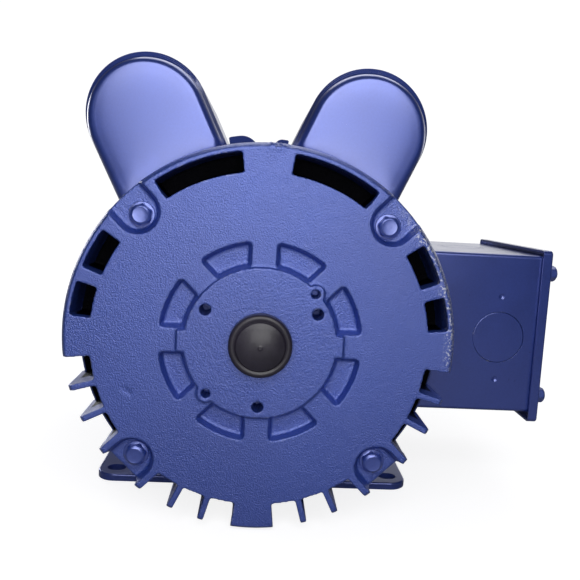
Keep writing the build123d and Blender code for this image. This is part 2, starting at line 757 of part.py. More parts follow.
# ---------------------------------------------------------------- start switch
BOARD_R = 62.0
BOARD_T = 2.5
ARM_T = 1.0
BOARD_HOLES = [spot(54, angle) for angle in (60, 120, 240, 300)]
with BuildPart() as switch_board:
    add(ring(SWITCH_Y, SWITCH_Y + BOARD_T, 21, BOARD_R))
    left_half = block(-BOARD_R, 4, SWITCH_Y - 1, SWITCH_Y + BOARD_T + 1, SHAFT_H - 38, SHAFT_H + 38)
    add(left_half, mode=Mode.INTERSECT)
    add(ring(SWITCH_Y, SWITCH_Y + BOARD_T, 47, BOARD_R))
    with BuildSketch(across(SWITCH_Y - 1)):
        with Locations(*BOARD_HOLES):
            Circle(2.2)
    extrude(amount=-10, mode=Mode.SUBTRACT)
keep("switch_board", switch_board.part)

with BuildPart() as switch_board_screws:
    board_plane = Plane(origin=(0, SWITCH_Y + BOARD_T, SHAFT_H), x_dir=(-1, 0, 0), z_dir=(0, 1, 0))
    mirrored_holes = [(-x, z) for x, z in BOARD_HOLES]
    add(hex_head(board_plane, mirrored_holes, 6.0, 2.4, 3.6, 0.6))
    add(rods(board_plane, mirrored_holes, 2.0, -22))
keep("switch_board_screws", switch_board_screws.part)

with BuildPart() as switch_standoffs:
    with BuildSketch(across(SWITCH_Y)):
        with Locations(*BOARD_HOLES):
            Circle(4.5)
            Circle(2.1, mode=Mode.SUBTRACT)
    extrude(amount=SWITCH_Y - BACK_Y)
keep("switch_standoffs", switch_standoffs.part)

PIVOT_TALL = 16.0
with BuildPart() as switch_bracket:
    for side in (1, -1):
        z_mid = SHAFT_H + side * (PIVOT_TALL + 2)
        x0 = ARM_PIVOT_X - 5
        add(block(x0, x0 + 8, SWITCH_Y + BOARD_T, ARM_PIVOT_Y + 3, z_mid - 0.9, z_mid + 0.9))
    with BuildSketch(Plane.XY.offset(SHAFT_H - PIVOT_TALL - 5)):
        with Locations((ARM_PIVOT_X, ARM_PIVOT_Y)):
            Circle(PIN_R + SEAT_GAP)
    extrude(amount=2 * PIVOT_TALL + 10, mode=Mode.SUBTRACT)
keep("switch_bracket", switch_bracket.part)

with BuildPart() as switch_arm_pin:
    with BuildSketch(Plane.XY.offset(SHAFT_H - PIVOT_TALL - 4.5)):
        with Locations((ARM_PIVOT_X, ARM_PIVOT_Y)):
            Circle(PIN_R)
    extrude(amount=2 * PIVOT_TALL + 9)
keep("switch_arm_pin", switch_arm_pin.part)

ARM_FACE_Y = COLLAR_Y0 - 0.2
ARM_REACH = 1.0
with BuildPart() as switch_arm:
    with BuildSketch(across(ARM_FACE_Y)):
        with Locations(((ARM_PIVOT_X - 34) / 2, 0)):
            Rectangle(-34 - ARM_PIVOT_X, 2 * PIVOT_TALL - 1)
        with Locations(((ARM_REACH - 38) / 2, 0)):
            Rectangle(ARM_REACH + 38, 50)
        Circle(20, mode=Mode.SUBTRACT)
        with Locations((10, 0)):
            Rectangle(20, 40, mode=Mode.SUBTRACT)
    extrude(amount=ARM_T)
    with BuildSketch(Plane.XY.offset(SHAFT_H - PIVOT_TALL + 0.5)):
        with Locations((ARM_PIVOT_X, ARM_PIVOT_Y)):
            Circle(2.6)
    extrude(amount=2 * PIVOT_TALL - 1)
    with BuildSketch(Plane.XY.offset(SHAFT_H - PIVOT_TALL - 1)):
        with Locations((ARM_PIVOT_X, ARM_PIVOT_Y)):
            Circle(PIN_R + RUN_GAP)
    extrude(amount=2 * PIVOT_TALL + 2, mode=Mode.SUBTRACT)
keep("switch_arm", switch_arm.part)

CONTACT_SPOTS = [(-5, 23), (-5, -23)]
with BuildPart() as switch_contacts:
    add(rods(across(SWITCH_Y + BOARD_T), CONTACT_SPOTS, 2.2, SWITCH_Y + BOARD_T - ARM_FACE_Y + ARM_T + 0.1))
keep("switch_contacts", switch_contacts.part)


# ---------------------------------------------------------------- capacitor covers
def cover_plane(y, centre_x, centre_z, lean, lift=0.0):
    """Plane across a cover, centred on its round end, local y pointing outwards."""
    turn = radians(lean)
    x = centre_x - lift * sin(turn)
    z = centre_z + lift * cos(turn)
    return Plane(origin=(x, y, SHAFT_H + z), x_dir=(cos(turn), 0, sin(turn)), z_dir=(0, -1, 0))


def cover_block(y0, y1, radius, data, lift):
    """Solid arch with a round top, long enough to reach into the shell."""
    with BuildPart() as body:
        with BuildSketch(cover_plane(y0, *data, lift)):
            Circle(radius)
            with Locations((0, -35)):
                Rectangle(2 * radius, 70)
        extrude(amount=y0 - y1)
    return body.part


def wall_angle(data, side, reach):
    """Angle about the shaft at which a cover's side wall meets the shell."""
    centre_x, centre_z, lean = data
    turn = radians(lean)
    px = centre_x + side * reach * cos(turn)
    pz = centre_z + side * reach * sin(turn)
    ox = -sin(turn)
    oz = cos(turn)
    along = px * ox + pz * oz
    drop = along - sqrt(along * along - px * px - pz * pz + SHELL_R * SHELL_R)
    return degrees(atan2(pz - drop * oz, px - drop * ox))


FLANGE_TURN = 8.5
COVER_SCREW_Y = (-78.0, 50.0)
# upturned ears at the front of the inner flanges: side, turn about the shaft, height, corner radius
EARS = {"left": (1, 8.5, 14.6, 6.5), "right": (-1, 4.8, 12.4, 1.5)}


def flange_ear(data, side, turn, height, corner):
    """Outline of an upturned ear that stands on a cover's flange, next to its wall."""
    foot = wall_angle(data, side, COVER_R + COVER_STEP)
    edges = sorted((foot, foot - turn * side))
    with BuildSketch(across(COVER_Y0 + COVER_LIP)) as shape:
        add(sector(Plane.XY, SHELL_R, SHELL_R + height, *edges))
        fillet(shape.vertices().sort_by_distance((0, 0))[-2:], radius=corner)
    return shape.sketch


def capacitor_cover(data, ear):
    """Drawn sheet cover with a stepped lip, side flanges, an ear and an open underside."""
    lip_y = COVER_Y0 + COVER_LIP
    big_r = COVER_R + COVER_STEP
    with BuildPart() as cover:
        add(cover_block(COVER_Y0, COVER_Y1, COVER_R, data, 0))
        add(cover_block(lip_y, COVER_Y1, big_r, data, COVER_RISE))
        add(
            cover_block(COVER_Y0 + SHEET_T, lip_y + SHEET_T, COVER_R - SHEET_T, data, 0),
            mode=Mode.SUBTRACT,
        )
        add(
            cover_block(lip_y + SHEET_T, COVER_Y1 - SHEET_T, big_r - SHEET_T, data, COVER_RISE),
            mode=Mode.SUBTRACT,
        )
        for side in (1, -1):
            foot = wall_angle(data, side, big_r)
            start = foot + 0.3 * side
            end = foot - FLANGE_TURN * side
            edges = sorted((start, end))
            flange = sector(across(lip_y), SHELL_R - 1, SHELL_R + SHEET_T, *edges)
            extrude(flange, amount=lip_y - COVER_Y1)
        extrude(flange_ear(data, *ear), amount=-SHEET_T)
        add(ring(COVER_Y0 - 1, COVER_Y1 + 1, 0, SHELL_R), mode=Mode.SUBTRACT)
        for side in (1, -1):
            angle = wall_angle(data, side, big_r) - 0.6 * FLANGE_TURN * side
            for screw_y in COVER_SCREW_Y:
                add(cover_screw_rod(angle, screw_y, SHELL_R - 2, 8, 2.1), mode=Mode.SUBTRACT)
    return cover.part


def cover_screw_rod(angle, y, radius, length, rod_r):
    """Radial rod through the shell."""
    return rods(radial_plane(angle, y, radius), [(0, 0)], rod_r, length)


with BuildPart() as cover_screws:
    for cover_name, *cover_data in COVERS:
        for side in (1, -1):
            screw_angle = wall_angle(cover_data, side, COVER_R + COVER_STEP) - 0.6 * FLANGE_TURN * side
            for screw_y in COVER_SCREW_Y:
                seat = radial_plane(screw_angle, screw_y, SHELL_R + SHEET_T)
                add(hex_head(seat, [(0, 0)], 6.35, 2.6, 4.0, 0.6))
                add(cover_screw_rod(screw_angle, screw_y, SHELL_R + 0.01, SHEET_T, 2.0))
keep("cover_screws", cover_screws.part)

for cover_name, *cover_data in COVERS:
    keep("capacitor_cover_" + cover_name, capacitor_cover(cover_data, EARS[cover_name]))

CAPACITORS = [
    ("start_capacitor", COVERS[0], 27.0, -82.0, 42.0),
    ("run_capacitor", COVERS[1], 25.0, -78.0, 26.0),
]
for cap_name, cover, cap_r, cap_y0, cap_y1 in CAPACITORS:
    with BuildPart() as capacitor:
        with BuildSketch(cover_plane(cap_y0, *cover[1:])):
            Circle(cap_r)
        extrude(amount=cap_y0 - cap_y1)
        chamfer(capacitor.edges().filter_by(GeomType.CIRCLE), length=1.5)
    keep(cap_name, capacitor.part)

with BuildPart() as capacitor_terminals:
    for cap_name, cover, cap_r, cap_y0, cap_y1 in CAPACITORS:
        with BuildSketch(cover_plane(cap_y1 + 10, *cover[1:])):
            with Locations((-9, 3), (-9, -3), (9, 3), (9, -3)):
                Rectangle(6.3, 0.8)
        extrude(amount=9.9)
keep("capacitor_terminals", capacitor_terminals.part)

with BuildPart() as capacitor_straps:
    for cap_name, cover, cap_r, cap_y0, cap_y1 in CAPACITORS:
        for strap_y in (cap_y0 + 20, cap_y1 - 32):
            with BuildSketch(cover_plane(strap_y, *cover[1:])):
                Circle(cap_r + 1.1)
                with Locations((0, -20)):
                    Rectangle(2 * cap_r + 2.2, 60)
                Circle(cap_r + 0.1, mode=Mode.SUBTRACT)
                with Locations((0, -30)):
                    Rectangle(2 * cap_r + 0.2, 60, mode=Mode.SUBTRACT)
            extrude(amount=-12)
    add(ring(COVER_Y0, COVER_Y1, 0, SHELL_R), mode=Mode.SUBTRACT)
keep("capacitor_straps", capacitor_straps.part)

# ---------------------------------------------------------------- conduit box
with BuildPart() as conduit_box:
    add(block(BOX_X0, BOX_X1, BOX_Y0, BOX_Y1, BOX_Z0, BOX_Z1))
    fillet(conduit_box.edges().filter_by(Axis.X), radius=2.5)
    add(
        block(BOX_X0 + BOX_T, BOX_X1 + 1, BOX_Y0 + BOX_T, BOX_Y1 - BOX_T, BOX_Z0 + BOX_T, BOX_Z1 - BOX_T),
        mode=Mode.SUBTRACT,
    )
    # tabs for the lid screws
    for screw_y in LID_SCREW_Y:
        for screw_z in LID_SCREW_Z:
            y_wall = BOX_Y0 if screw_y < 0 else BOX_Y1
            z_wall = BOX_Z0 if screw_z < KNOCKOUT_Z else BOX_Z1
            y_near = screw_y + (6 if screw_y < 0 else -6)
            z_near = screw_z + (6 if screw_z < KNOCKOUT_Z else -6)
            add(
                block(
                    BOX_X1 - 2 * BOX_T,
                    BOX_X1,
                    min(y_wall, y_near) + 0.5,
                    max(y_wall, y_near) - 0.5,
                    min(z_wall, z_near) + 0.5,
                    max(z_wall, z_near) - 0.5,
                )
            )
    with BuildSketch(Plane.YZ.offset(BOX_X1 - 6)):
        for screw_y in LID_SCREW_Y:
            for screw_z in LID_SCREW_Z:
                with Locations((screw_y, screw_z)):
                    Circle(2.4)
    extrude(amount=20, mode=Mode.SUBTRACT)
    # knockouts in the front, top and bottom walls
    with BuildSketch(Plane.XZ.offset(-BOX_Y0 - 5)):
        with Locations((KNOCKOUT_X, KNOCKOUT_Z)):
            Circle(KNOCKOUT_R + 0.15)
    extrude(amount=10, mode=Mode.SUBTRACT)
    for wall_z in (BOX_Z0, BOX_Z1):
        with BuildSketch(Plane.XY.offset(wall_z - 5)):
            with Locations((KNOCKOUT_X - 12, (BOX_Y0 + BOX_Y1) / 2)):
                Circle(KNOCKOUT_R + 0.15)
        extrude(amount=10, mode=Mode.SUBTRACT)
    # two stake marks in the front wall
    for dimple_z in DIMPLE_Z:
        with Locations((KNOCKOUT_X, BOX_Y0 - 2.2, dimple_z)):
            Sphere(3, mode=Mode.SUBTRACT)
    # lead hole and fixing screw holes in the wall against the frame
    with BuildSketch(Plane.YZ.offset(BOX_X0 - 2)):
        with Locations((LEAD_Y, LEAD_Z)):
            Circle(LEAD_R)
        with Locations(*FIX_SPOTS):
            Circle(2.6)
    extrude(amount=6, mode=Mode.SUBTRACT)
keep("conduit_box", conduit_box.part)

with BuildPart() as knockout_discs:
    with BuildSketch(Plane.XZ.offset(-BOX_Y0 - BOX_T)):
        with Locations((KNOCKOUT_X, KNOCKOUT_Z)):
            Circle(KNOCKOUT_R)
    extrude(amount=BOX_T)
    for wall_z in (BOX_Z0, BOX_Z1 - BOX_T):
        with BuildSketch(Plane.XY.offset(wall_z)):
            with Locations((KNOCKOUT_X - 12, (BOX_Y0 + BOX_Y1) / 2)):
                Circle(KNOCKOUT_R)
                Circle(INNER_KNOCKOUT_R + 0.15, mode=Mode.SUBTRACT)
                Circle(INNER_KNOCKOUT_R)
        extrude(amount=BOX_T)
keep("knockout_discs", knockout_discs.part)

with BuildPart() as lid_gasket:
    add(block(BOX_X1, LID_X, BOX_Y0 + 1, BOX_Y1 - 1, BOX_Z0 + 1, BOX_Z1 - 1))
    add(block(BOX_X1 - 1, LID_X + 1, BOX_Y0 + 14, BOX_Y1 - 14, BOX_Z0 + 18, BOX_Z1 - 18), mode=Mode.SUBTRACT)
    with BuildSketch(Plane.YZ.offset(BOX_X1 - 1)):
        for screw_y in LID_SCREW_Y:
            for screw_z in LID_SCREW_Z:
                with Locations((screw_y, screw_z)):
                    Circle(2.6)
    extrude(amount=6, mode=Mode.SUBTRACT)
keep("lid_gasket", lid_gasket.part)

LID_END = LID_X + LID_T
with BuildPart() as conduit_box_lid:
    add(block(LID_END - LID_FLANGE, LID_END, BOX_Y0 - LID_OVER, BOX_Y1 + LID_OVER, LID_Z0, LID_Z1))
    fillet(conduit_box_lid.edges().filter_by(Axis.X), radius=3)
    fillet(conduit_box_lid.faces().sort_by(Axis.X)[-1].edges(), radius=1.2)
    add(
        block(
            LID_END - LID_FLANGE - 1,
            LID_X,
            BOX_Y0 - LID_OVER + LID_T,
            BOX_Y1 + LID_OVER - LID_T,
            LID_Z0 + LID_T,
            LID_Z1 - LID_T,
        ),
        mode=Mode.SUBTRACT,
    )
    with BuildSketch(Plane.YZ.offset(LID_X - 1)):
        for screw_y in LID_SCREW_Y:
            for screw_z in LID_SCREW_Z:
                with Locations((screw_y, screw_z)):
                    Circle(2.6)
    extrude(amount=6, mode=Mode.SUBTRACT)
keep("conduit_box_lid", conduit_box_lid.part)

LID_SCREW_SPOTS = [(screw_y, screw_z) for screw_y in LID_SCREW_Y for screw_z in LID_SCREW_Z]
with BuildPart() as lid_screws:
    add(hex_head(Plane.YZ.offset(LID_END), LID_SCREW_SPOTS, 9.5, 4.2, 6.2, 1.0))
    add(rods(Plane.YZ.offset(LID_END), LID_SCREW_SPOTS, 2.3, BOX_X1 - 10 - LID_END))
keep("lid_screws", lid_screws.part)

GASKET_HALF = 32.0
with BuildPart() as box_gasket:
    add(block(90, BOX_X0, BOX_Y0 + 4, BOX_Y1 - 14, SHAFT_H - GASKET_HALF, SHAFT_H + GASKET_HALF))
    add(ring(BOX_Y0, BOX_Y1, 0, SHELL_R), mode=Mode.SUBTRACT)
    with BuildSketch(Plane.YZ.offset(90)):
        with Locations((LEAD_Y, LEAD_Z)):
            Circle(LEAD_R)
        with Locations(*FIX_SPOTS):
            Circle(2.6)
    extrude(amount=30, mode=Mode.SUBTRACT)
keep("box_gasket", box_gasket.part)

with BuildPart() as lead_grommet:
    lead_plane = Plane(origin=(0, LEAD_Y, LEAD_Z), x_dir=(0, 1, 0), z_dir=(1, 0, 0))
    with BuildSketch(lead_plane.offset(SHELL_IN)):
        Circle(LEAD_R - 0.05)
        Circle(LEAD_R - 2.5, mode=Mode.SUBTRACT)
    extrude(amount=BOX_X0 + BOX_T - SHELL_IN)
    with BuildSketch(lead_plane.offset(BOX_X0 + BOX_T)):
        Circle(LEAD_R + 2)
        Circle(LEAD_R - 2.5, mode=Mode.SUBTRACT)
    extrude(amount=2)
keep("lead_grommet", lead_grommet.part)

with BuildPart() as box_fixing_screws:
    add(hex_head(Plane.YZ.offset(BOX_X0 + BOX_T), FIX_SPOTS, 7.9, 3.2, 5.2, 0.8))
    add(rods(Plane.YZ.offset(BOX_X0 + BOX_T), FIX_SPOTS, 2.5, SHELL_R + 0.02 - BOX_X0 - BOX_T))
keep("box_fixing_screws", box_fixing_screws.part)

BOARD_X = 118.0
STUD_SPOTS = [(-12 + 16 * column, 132 + 14 * row) for row in (0, 1) for column in (0, 1, 2)]
with BuildPart() as terminal_board:
    add(block(BOARD_X, BOARD_X + 5, -24, 32, 124, 154))
    add(block(BOX_X0 + BOX_T, BOARD_X, -22, -14, 126, 152))
    add(block(BOX_X0 + BOX_T, BOARD_X, 22, 30, 126, 152))
keep("terminal_board", terminal_board.part)

with BuildPart() as terminal_studs:
    stud_plane = Plane.YZ.offset(BOARD_X + 5)
    add(hex_head(stud_plane, STUD_SPOTS, 8.0, 3.2, 4.6, 0.8))
    add(rods(stud_plane, STUD_SPOTS, 2.4, 13))
keep("terminal_studs", terminal_studs.part)

with BuildPart() as ground_screw:
    ground_plane = Plane.YZ.offset(BOX_X0 + BOX_T)
    add(hex_head(ground_plane, [(0, 78)], 8.0, 3.0, 5.5, 1.0))
keep("ground_screw", ground_screw.part)

# ---------------------------------------------------------------- nameplate and baffle
PLATE_HALF_TURN = 22.0
with BuildPart() as nameplate:
    plate_shape = sector(across(-48), SHELL_R, SHELL_R + 0.8, 180 - PLATE_HALF_TURN, 180 + PLATE_HALF_TURN)
    extrude(plate_shape, amount=-100)
keep("nameplate", nameplate.part)

with BuildPart() as nameplate_rivets:
    for rivet_angle in (180 - PLATE_HALF_TURN + 2, 180 + PLATE_HALF_TURN - 2):
        for rivet_y in (-43, 47):
            with BuildSketch(radial_plane(rivet_angle, rivet_y, SHELL_R + 0.85)):
                Circle(1.8)
            extrude(amount=1.0)
keep("nameplate_rivets", nameplate_rivets.part)

with BuildPart() as air_baffle:
    add(
        turned(
            [
                (DRIVE_Y + 4.2, 87.9),
                (DRIVE_Y + 4.2, 84),
                (DRIVE_Y + 1.2, 66),
                (DRIVE_Y + 2.4, 66),
                (DRIVE_Y + 5.4, 84),
                (DRIVE_Y + 5.4, 87.9),
            ]
        )
    )
keep("air_baffle", air_baffle.part)
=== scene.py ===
import json
from math import atan2, cos, pi, radians, sin, sqrt

import bmesh
import bpy
import numpy as np
from mathutils import Matrix, Vector, noise


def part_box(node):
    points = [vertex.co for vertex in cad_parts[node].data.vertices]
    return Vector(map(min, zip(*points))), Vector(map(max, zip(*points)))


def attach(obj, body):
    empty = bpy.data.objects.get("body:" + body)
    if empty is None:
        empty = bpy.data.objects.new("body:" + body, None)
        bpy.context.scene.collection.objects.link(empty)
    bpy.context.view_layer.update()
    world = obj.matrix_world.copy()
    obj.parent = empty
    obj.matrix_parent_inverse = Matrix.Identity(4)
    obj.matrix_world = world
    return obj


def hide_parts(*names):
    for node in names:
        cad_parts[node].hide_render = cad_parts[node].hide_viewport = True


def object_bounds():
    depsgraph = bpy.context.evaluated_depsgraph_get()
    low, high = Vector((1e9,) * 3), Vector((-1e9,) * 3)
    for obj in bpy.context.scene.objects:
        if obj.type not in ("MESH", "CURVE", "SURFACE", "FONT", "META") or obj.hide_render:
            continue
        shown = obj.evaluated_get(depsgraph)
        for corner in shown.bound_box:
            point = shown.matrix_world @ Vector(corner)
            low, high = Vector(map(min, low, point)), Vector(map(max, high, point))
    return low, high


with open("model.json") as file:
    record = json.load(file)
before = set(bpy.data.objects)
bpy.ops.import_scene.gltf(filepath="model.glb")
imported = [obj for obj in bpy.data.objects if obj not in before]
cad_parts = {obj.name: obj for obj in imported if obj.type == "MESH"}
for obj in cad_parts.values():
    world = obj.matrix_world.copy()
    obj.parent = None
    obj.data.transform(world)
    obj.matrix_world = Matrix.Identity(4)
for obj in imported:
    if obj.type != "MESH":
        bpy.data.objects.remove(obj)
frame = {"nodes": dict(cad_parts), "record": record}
CAD_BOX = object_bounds()
MM = 0.001

# ---------------------------------------------------------------- driving sizes
# The base stands on z = 0, the shaft runs along y, and the rear endshield looks towards -y.
SHELL_LO, SHELL_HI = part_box("frame_shell")
PLUG_LO, PLUG_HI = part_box("rear_bearing_plug")
HUB_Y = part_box("rear_endshield")[0].y           # the face of the hub, the rearmost one of the casting
SHAFT_Z = (PLUG_LO.z + PLUG_HI.z) / 2
ENDSHIELD_LENGTH = 36 * MM
FACE_Y = SHELL_LO.y - ENDSHIELD_LENGTH          # the face of the rear endshield's disc
MIDDLE_Y = (SHELL_LO.y + SHELL_HI.y) / 2
HALF_LENGTH = MIDDLE_Y - FACE_Y
SHELL_R = 109.0 * MM
WINDOW_R = 108.7 * MM                           # the endshields are hollow within this radius
MERGE = 0.002 * MM                              # CAD triangles share corners closer than this
SAME_FACE = radians(0.4)                        # triangles that meet at less than this make one face
BREAK_EDGE = radians(32.0)                      # edges sharper than this are broken


def collection_add(name, data):
    piece = bpy.data.objects.new(name, data)
    bpy.context.scene.collection.objects.link(piece)
    return piece


# ---------------------------------------------------------------- materials
EDGE_NONE, EDGE_FULL = 0.995, 0.86      # agreement of the true and the bevelled normal


class NodeTree:
    """Adds nodes to an emptied node tree and joins them up."""

    def __init__(self, tree):
        self.tree = tree
        self.tree.nodes.clear()

    def add(self, kind, values=(), **settings):
        """A new node with its settings, and the values of its input sockets by name."""
        node = self.tree.nodes.new(kind)
        for key, value in settings.items():
            setattr(node, key, value)
        for key, value in dict(values).items():
            node.inputs[key].default_value = value
        return node

    def join(self, source, target):
        self.tree.links.new(source, target)

    def span(self, source, low, high, to_low=0.0, to_high=1.0):
        limits = {"From Min": low, "From Max": high, "To Min": to_low, "To Max": to_high}
        node = self.add("ShaderNodeMapRange", limits)
        self.join(source, node.inputs["Value"])
        return node.outputs[0]

    def math(self, operation, first, second=0.0):
        node = self.add("ShaderNodeMath", operation=operation)
        for socket, value in zip(node.inputs, (first, second)):
            if isinstance(value, (int, float)):
                socket.default_value = value
            else:
                self.join(value, socket)
        return node.outputs[0]

    def mixed(self, factor, first, second):
        node = self.add("ShaderNodeMix", data_type="RGBA")
        self.join(factor, node.inputs["Factor"])
        for key, value in (("A", first), ("B", second)):
            socket = [i for i in node.inputs if i.name == key and i.type == "RGBA"][0]
            if isinstance(value, tuple):
                socket.default_value = (*value, 1)
            else:
                self.join(value, socket)
        return [o for o in node.outputs if o.type == "RGBA"][0]


class Nodes(NodeTree):
    """A material whose tree ends in one principled shader."""

    def __init__(self, name):
        self.material = bpy.data.materials.new(name)
        self.material.use_nodes = True
        super().__init__(self.material.node_tree)
        self.shader = self.add("ShaderNodeBsdfPrincipled")
        self.join(self.shader.outputs[0], self.add("ShaderNodeOutputMaterial").inputs["Surface"])
        self.place = self.add("ShaderNodeTexCoord").outputs["Object"]

    def set(self, **values):
        """Sets the shader's sockets: numbers and colours on the socket itself, the rest by a link."""
        for key, value in values.items():
            socket = self.shader.inputs[key.replace("_", " ")]
            if isinstance(value, (int, float, tuple)):
                socket.default_value = value
            else:
                self.join(value, socket)

    def moved(self, values):
        mapping = self.add("ShaderNodeMapping", values)
        self.join(self.place, mapping.inputs["Vector"])
        return mapping.outputs[0]

    def noise(self, scale, detail=3.0, rough=0.5, vector=None):
        node = self.add("ShaderNodeTexNoise", {"Scale": scale, "Detail": detail, "Roughness": rough})
        self.join(vector or self.place, node.inputs["Vector"])
        return node.outputs["Fac"]

    def blend(self, first, share, second):
        """Two values added up, the first with a share and the second with the rest."""
        return self.math("ADD", self.math("MULTIPLY", first, share), self.math("MULTIPLY", second, 1 - share))

    def ramp(self, source, *stops):
        node = self.add("ShaderNodeValToRGB")
        while len(node.color_ramp.elements) < len(stops):
            node.color_ramp.elements.new(0.5)
        for element, (at, colour) in zip(node.color_ramp.elements, stops):
            element.position = at
            element.color = (*colour, 1)
        self.join(source, node.inputs[0])
        return node.outputs[0]

    def edges(self, radius):
        """From 0 on flat faces to 1 on sharp corners, where the bevelled normal leaves the true one."""
        bevel = self.add("ShaderNodeBevel", {"Radius": radius}, samples=4)
        dot = self.add("ShaderNodeVectorMath", operation="DOT_PRODUCT")
        self.join(bevel.outputs[0], dot.inputs[0])
        self.join(self.add("ShaderNodeNewGeometry").outputs["Normal"], dot.inputs[1])
        return self.span(dot.outputs["Value"], EDGE_NONE, EDGE_FULL)

    def bump(self, height, strength, distance, previous=None):
        node = self.add("ShaderNodeBump", {"Strength": strength, "Distance": distance})
        self.join(height, node.inputs["Height"])
        if previous:
            self.join(previous, node.inputs["Normal"])
        return node.outputs[0]

    def about_shaft(self):
        """The x, the y, the height over the shaft's line and the distance from it."""
        split = self.add("ShaderNodeSeparateXYZ")
        self.join(self.place, split.inputs[0])
        x, y, z = split.outputs
        height = self.math("SUBTRACT", z, SHAFT_Z)
        squares = self.math("ADD", self.math("POWER", x, 2.0), self.math("POWER", height, 2.0))
        return x, y, height, self.math("SQRT", squares)


def inside_shade_mask(n):
    """1 on the surfaces inside the endshields and the shell, which get a painted shade: a near-black colour
    for the shade behind the windows.
    """
    _, y, _, radius = n.about_shaft()
    off_middle = n.math("ABSOLUTE", n.math("SUBTRACT", y, MIDDLE_Y))
    deep = n.span(off_middle, HALF_LENGTH - 12 * MM, HALF_LENGTH - 15 * MM)
    return n.math("MULTIPLY", deep, n.span(radius, WINDOW_R + 0.3 * MM, WINDOW_R - 0.7 * MM))


def chipped_and_glinting_rim(n):
    """1 on the rim of the casting next to the conduit box, where the paint is rubbed and chipped, and where
    painted glints stand for light sparkling on the rough casting.
    """
    x, y, height, radius = n.about_shaft()
    rim = n.span(radius, 105.5 * MM, 109.5 * MM)
    aside = n.span(x, 72 * MM, 84 * MM)
    high = n.span(height, -14 * MM, -2 * MM)
    near = n.span(y, FACE_Y + 8 * MM, FACE_Y + 4 * MM)
    return n.math("MULTIPLY", n.math("MULTIPLY", rim, aside), n.math("MULTIPLY", high, near))


# The light colour of chipped paint, also used for the painted glints on the casting's rim.
CHIP_AND_GLINT_COLOUR = (0.62, 0.64, 0.72)
# Painted shade: the near-black colour of the surfaces inside the endshields and the shell, for the shade
# behind the windows.
INSIDE_SHADE_COLOUR = (0.003, 0.003, 0.004)
CHIP_EDGE = 1.1 * MM
CHIP_SHIFT = 0.12               # how far a chips value of 1 lowers the limit for a chip
METALLIC_SPAN = (0.54, 0.62)    # metal flake in the enamel
COAT_ROUGHNESS = 0.29
CAST_COAT_IOR, SHEET_COAT_IOR = 1.74, 1.86


def paint(name, dark, light, rough, grain, grain_depth, chips, is_cast=False):
    """Enamel over metal: a slightly uneven colour, an orange-peel grain and rubbed or chipped edges.

    A casting also gets light specks on its rim beside the conduit box, partly chipped paint and partly
    painted glints, and its inside gets a painted shade: a near-black colour for the shade behind the windows.
    """
    n = Nodes(name)
    cloud = n.noise(9.0, 4.0)
    fine = n.noise(grain, 3.0, 0.62)
    coarse = n.noise(grain * 0.31, 2.0)
    colour = n.ramp(n.blend(cloud, 0.45, fine), (0.34, dark), (0.68, light))
    spots = n.span(n.noise(310.0, 4.0, 0.7), 0.60 - CHIP_SHIFT * chips, 0.66 - CHIP_SHIFT * chips)
    areas = n.span(n.noise(23.0, 2.0), 0.46, 0.62)
    wear_and_glints = n.math("MULTIPLY", n.math("MULTIPLY", n.edges(CHIP_EDGE), spots), areas)
    if is_cast:
        # Light specks on the rim beside the conduit box: partly chipped paint, partly painted glints.
        chip_and_glint_specks = n.span(n.noise(620.0, 3.0, 0.7), 0.53, 0.57)
        wear_and_glints = n.math("MAXIMUM", wear_and_glints, n.math("MULTIPLY", chipped_and_glinting_rim(n), chip_and_glint_specks))
    colour = n.mixed(wear_and_glints, colour, CHIP_AND_GLINT_COLOUR)
    metallic, coat, coat_ior = n.span(cloud, 0.3, 0.7, *METALLIC_SPAN), 1.0, SHEET_COAT_IOR
    if is_cast:
        # Painted shade: the inside turns near black and loses its coat.
        inside = inside_shade_mask(n)
        colour = n.mixed(inside, colour, INSIDE_SHADE_COLOUR)
        metallic = n.math("MAXIMUM", metallic, inside)
        coat, coat_ior = n.math("SUBTRACT", 1.0, inside), CAST_COAT_IOR
    roughness = n.span(n.blend(n.noise(60.0, 3.0), 0.6, fine), 0.3, 0.7, rough - 0.06, rough + 0.08)
    normal = n.bump(fine, 1.0, grain_depth, n.bump(coarse, 0.3, grain_depth))
    n.set(Base_Color=colour, Roughness=roughness, Normal=normal, Metallic=metallic, Specular_IOR_Level=0.5)
    n.set(Coat_Weight=coat, Coat_Roughness=COAT_ROUGHNESS, Coat_IOR=coat_ior, Coat_Normal=normal)
    return n.material


def metal(name, dark, light, rough, scratch=(1, 1, 1), scratch_scale=90.0, depth=0.02 * MM):
    """Bare or plated metal with fine directional marks and a patchy sheen."""
    n = Nodes(name)
    marks = n.noise(scratch_scale, 4.0, 0.6, n.moved({"Scale": scratch}))
    tone = n.blend(n.noise(35.0, 4.0), 0.6, marks)
    n.set(Base_Color=n.ramp(tone, (0.32, dark), (0.68, light)), Metallic=1.0)
    n.set(Roughness=n.span(tone, 0.3, 0.7, rough - 0.08, rough + 0.12), Normal=n.bump(marks, 0.6, depth))
    return n.material


def moulded(name, dark, light, rough, grain, depth=0.02 * MM, coat=0.0):
    """Moulded plastic, rubber or board, with a fine grain."""
    n = Nodes(name)
    cloud = n.noise(48.0, 4.0)
    fine = n.noise(grain, 2.0)
    n.set(Base_Color=n.ramp(n.blend(cloud, 0.7, fine), (0.34, dark), (0.68, light)))
    n.set(Roughness=n.span(cloud, 0.3, 0.7, rough - 0.06, rough + 0.08))
    n.set(Normal=n.bump(fine, 0.6, depth), Coat_Weight=coat, Coat_Roughness=0.12)
    return n.material


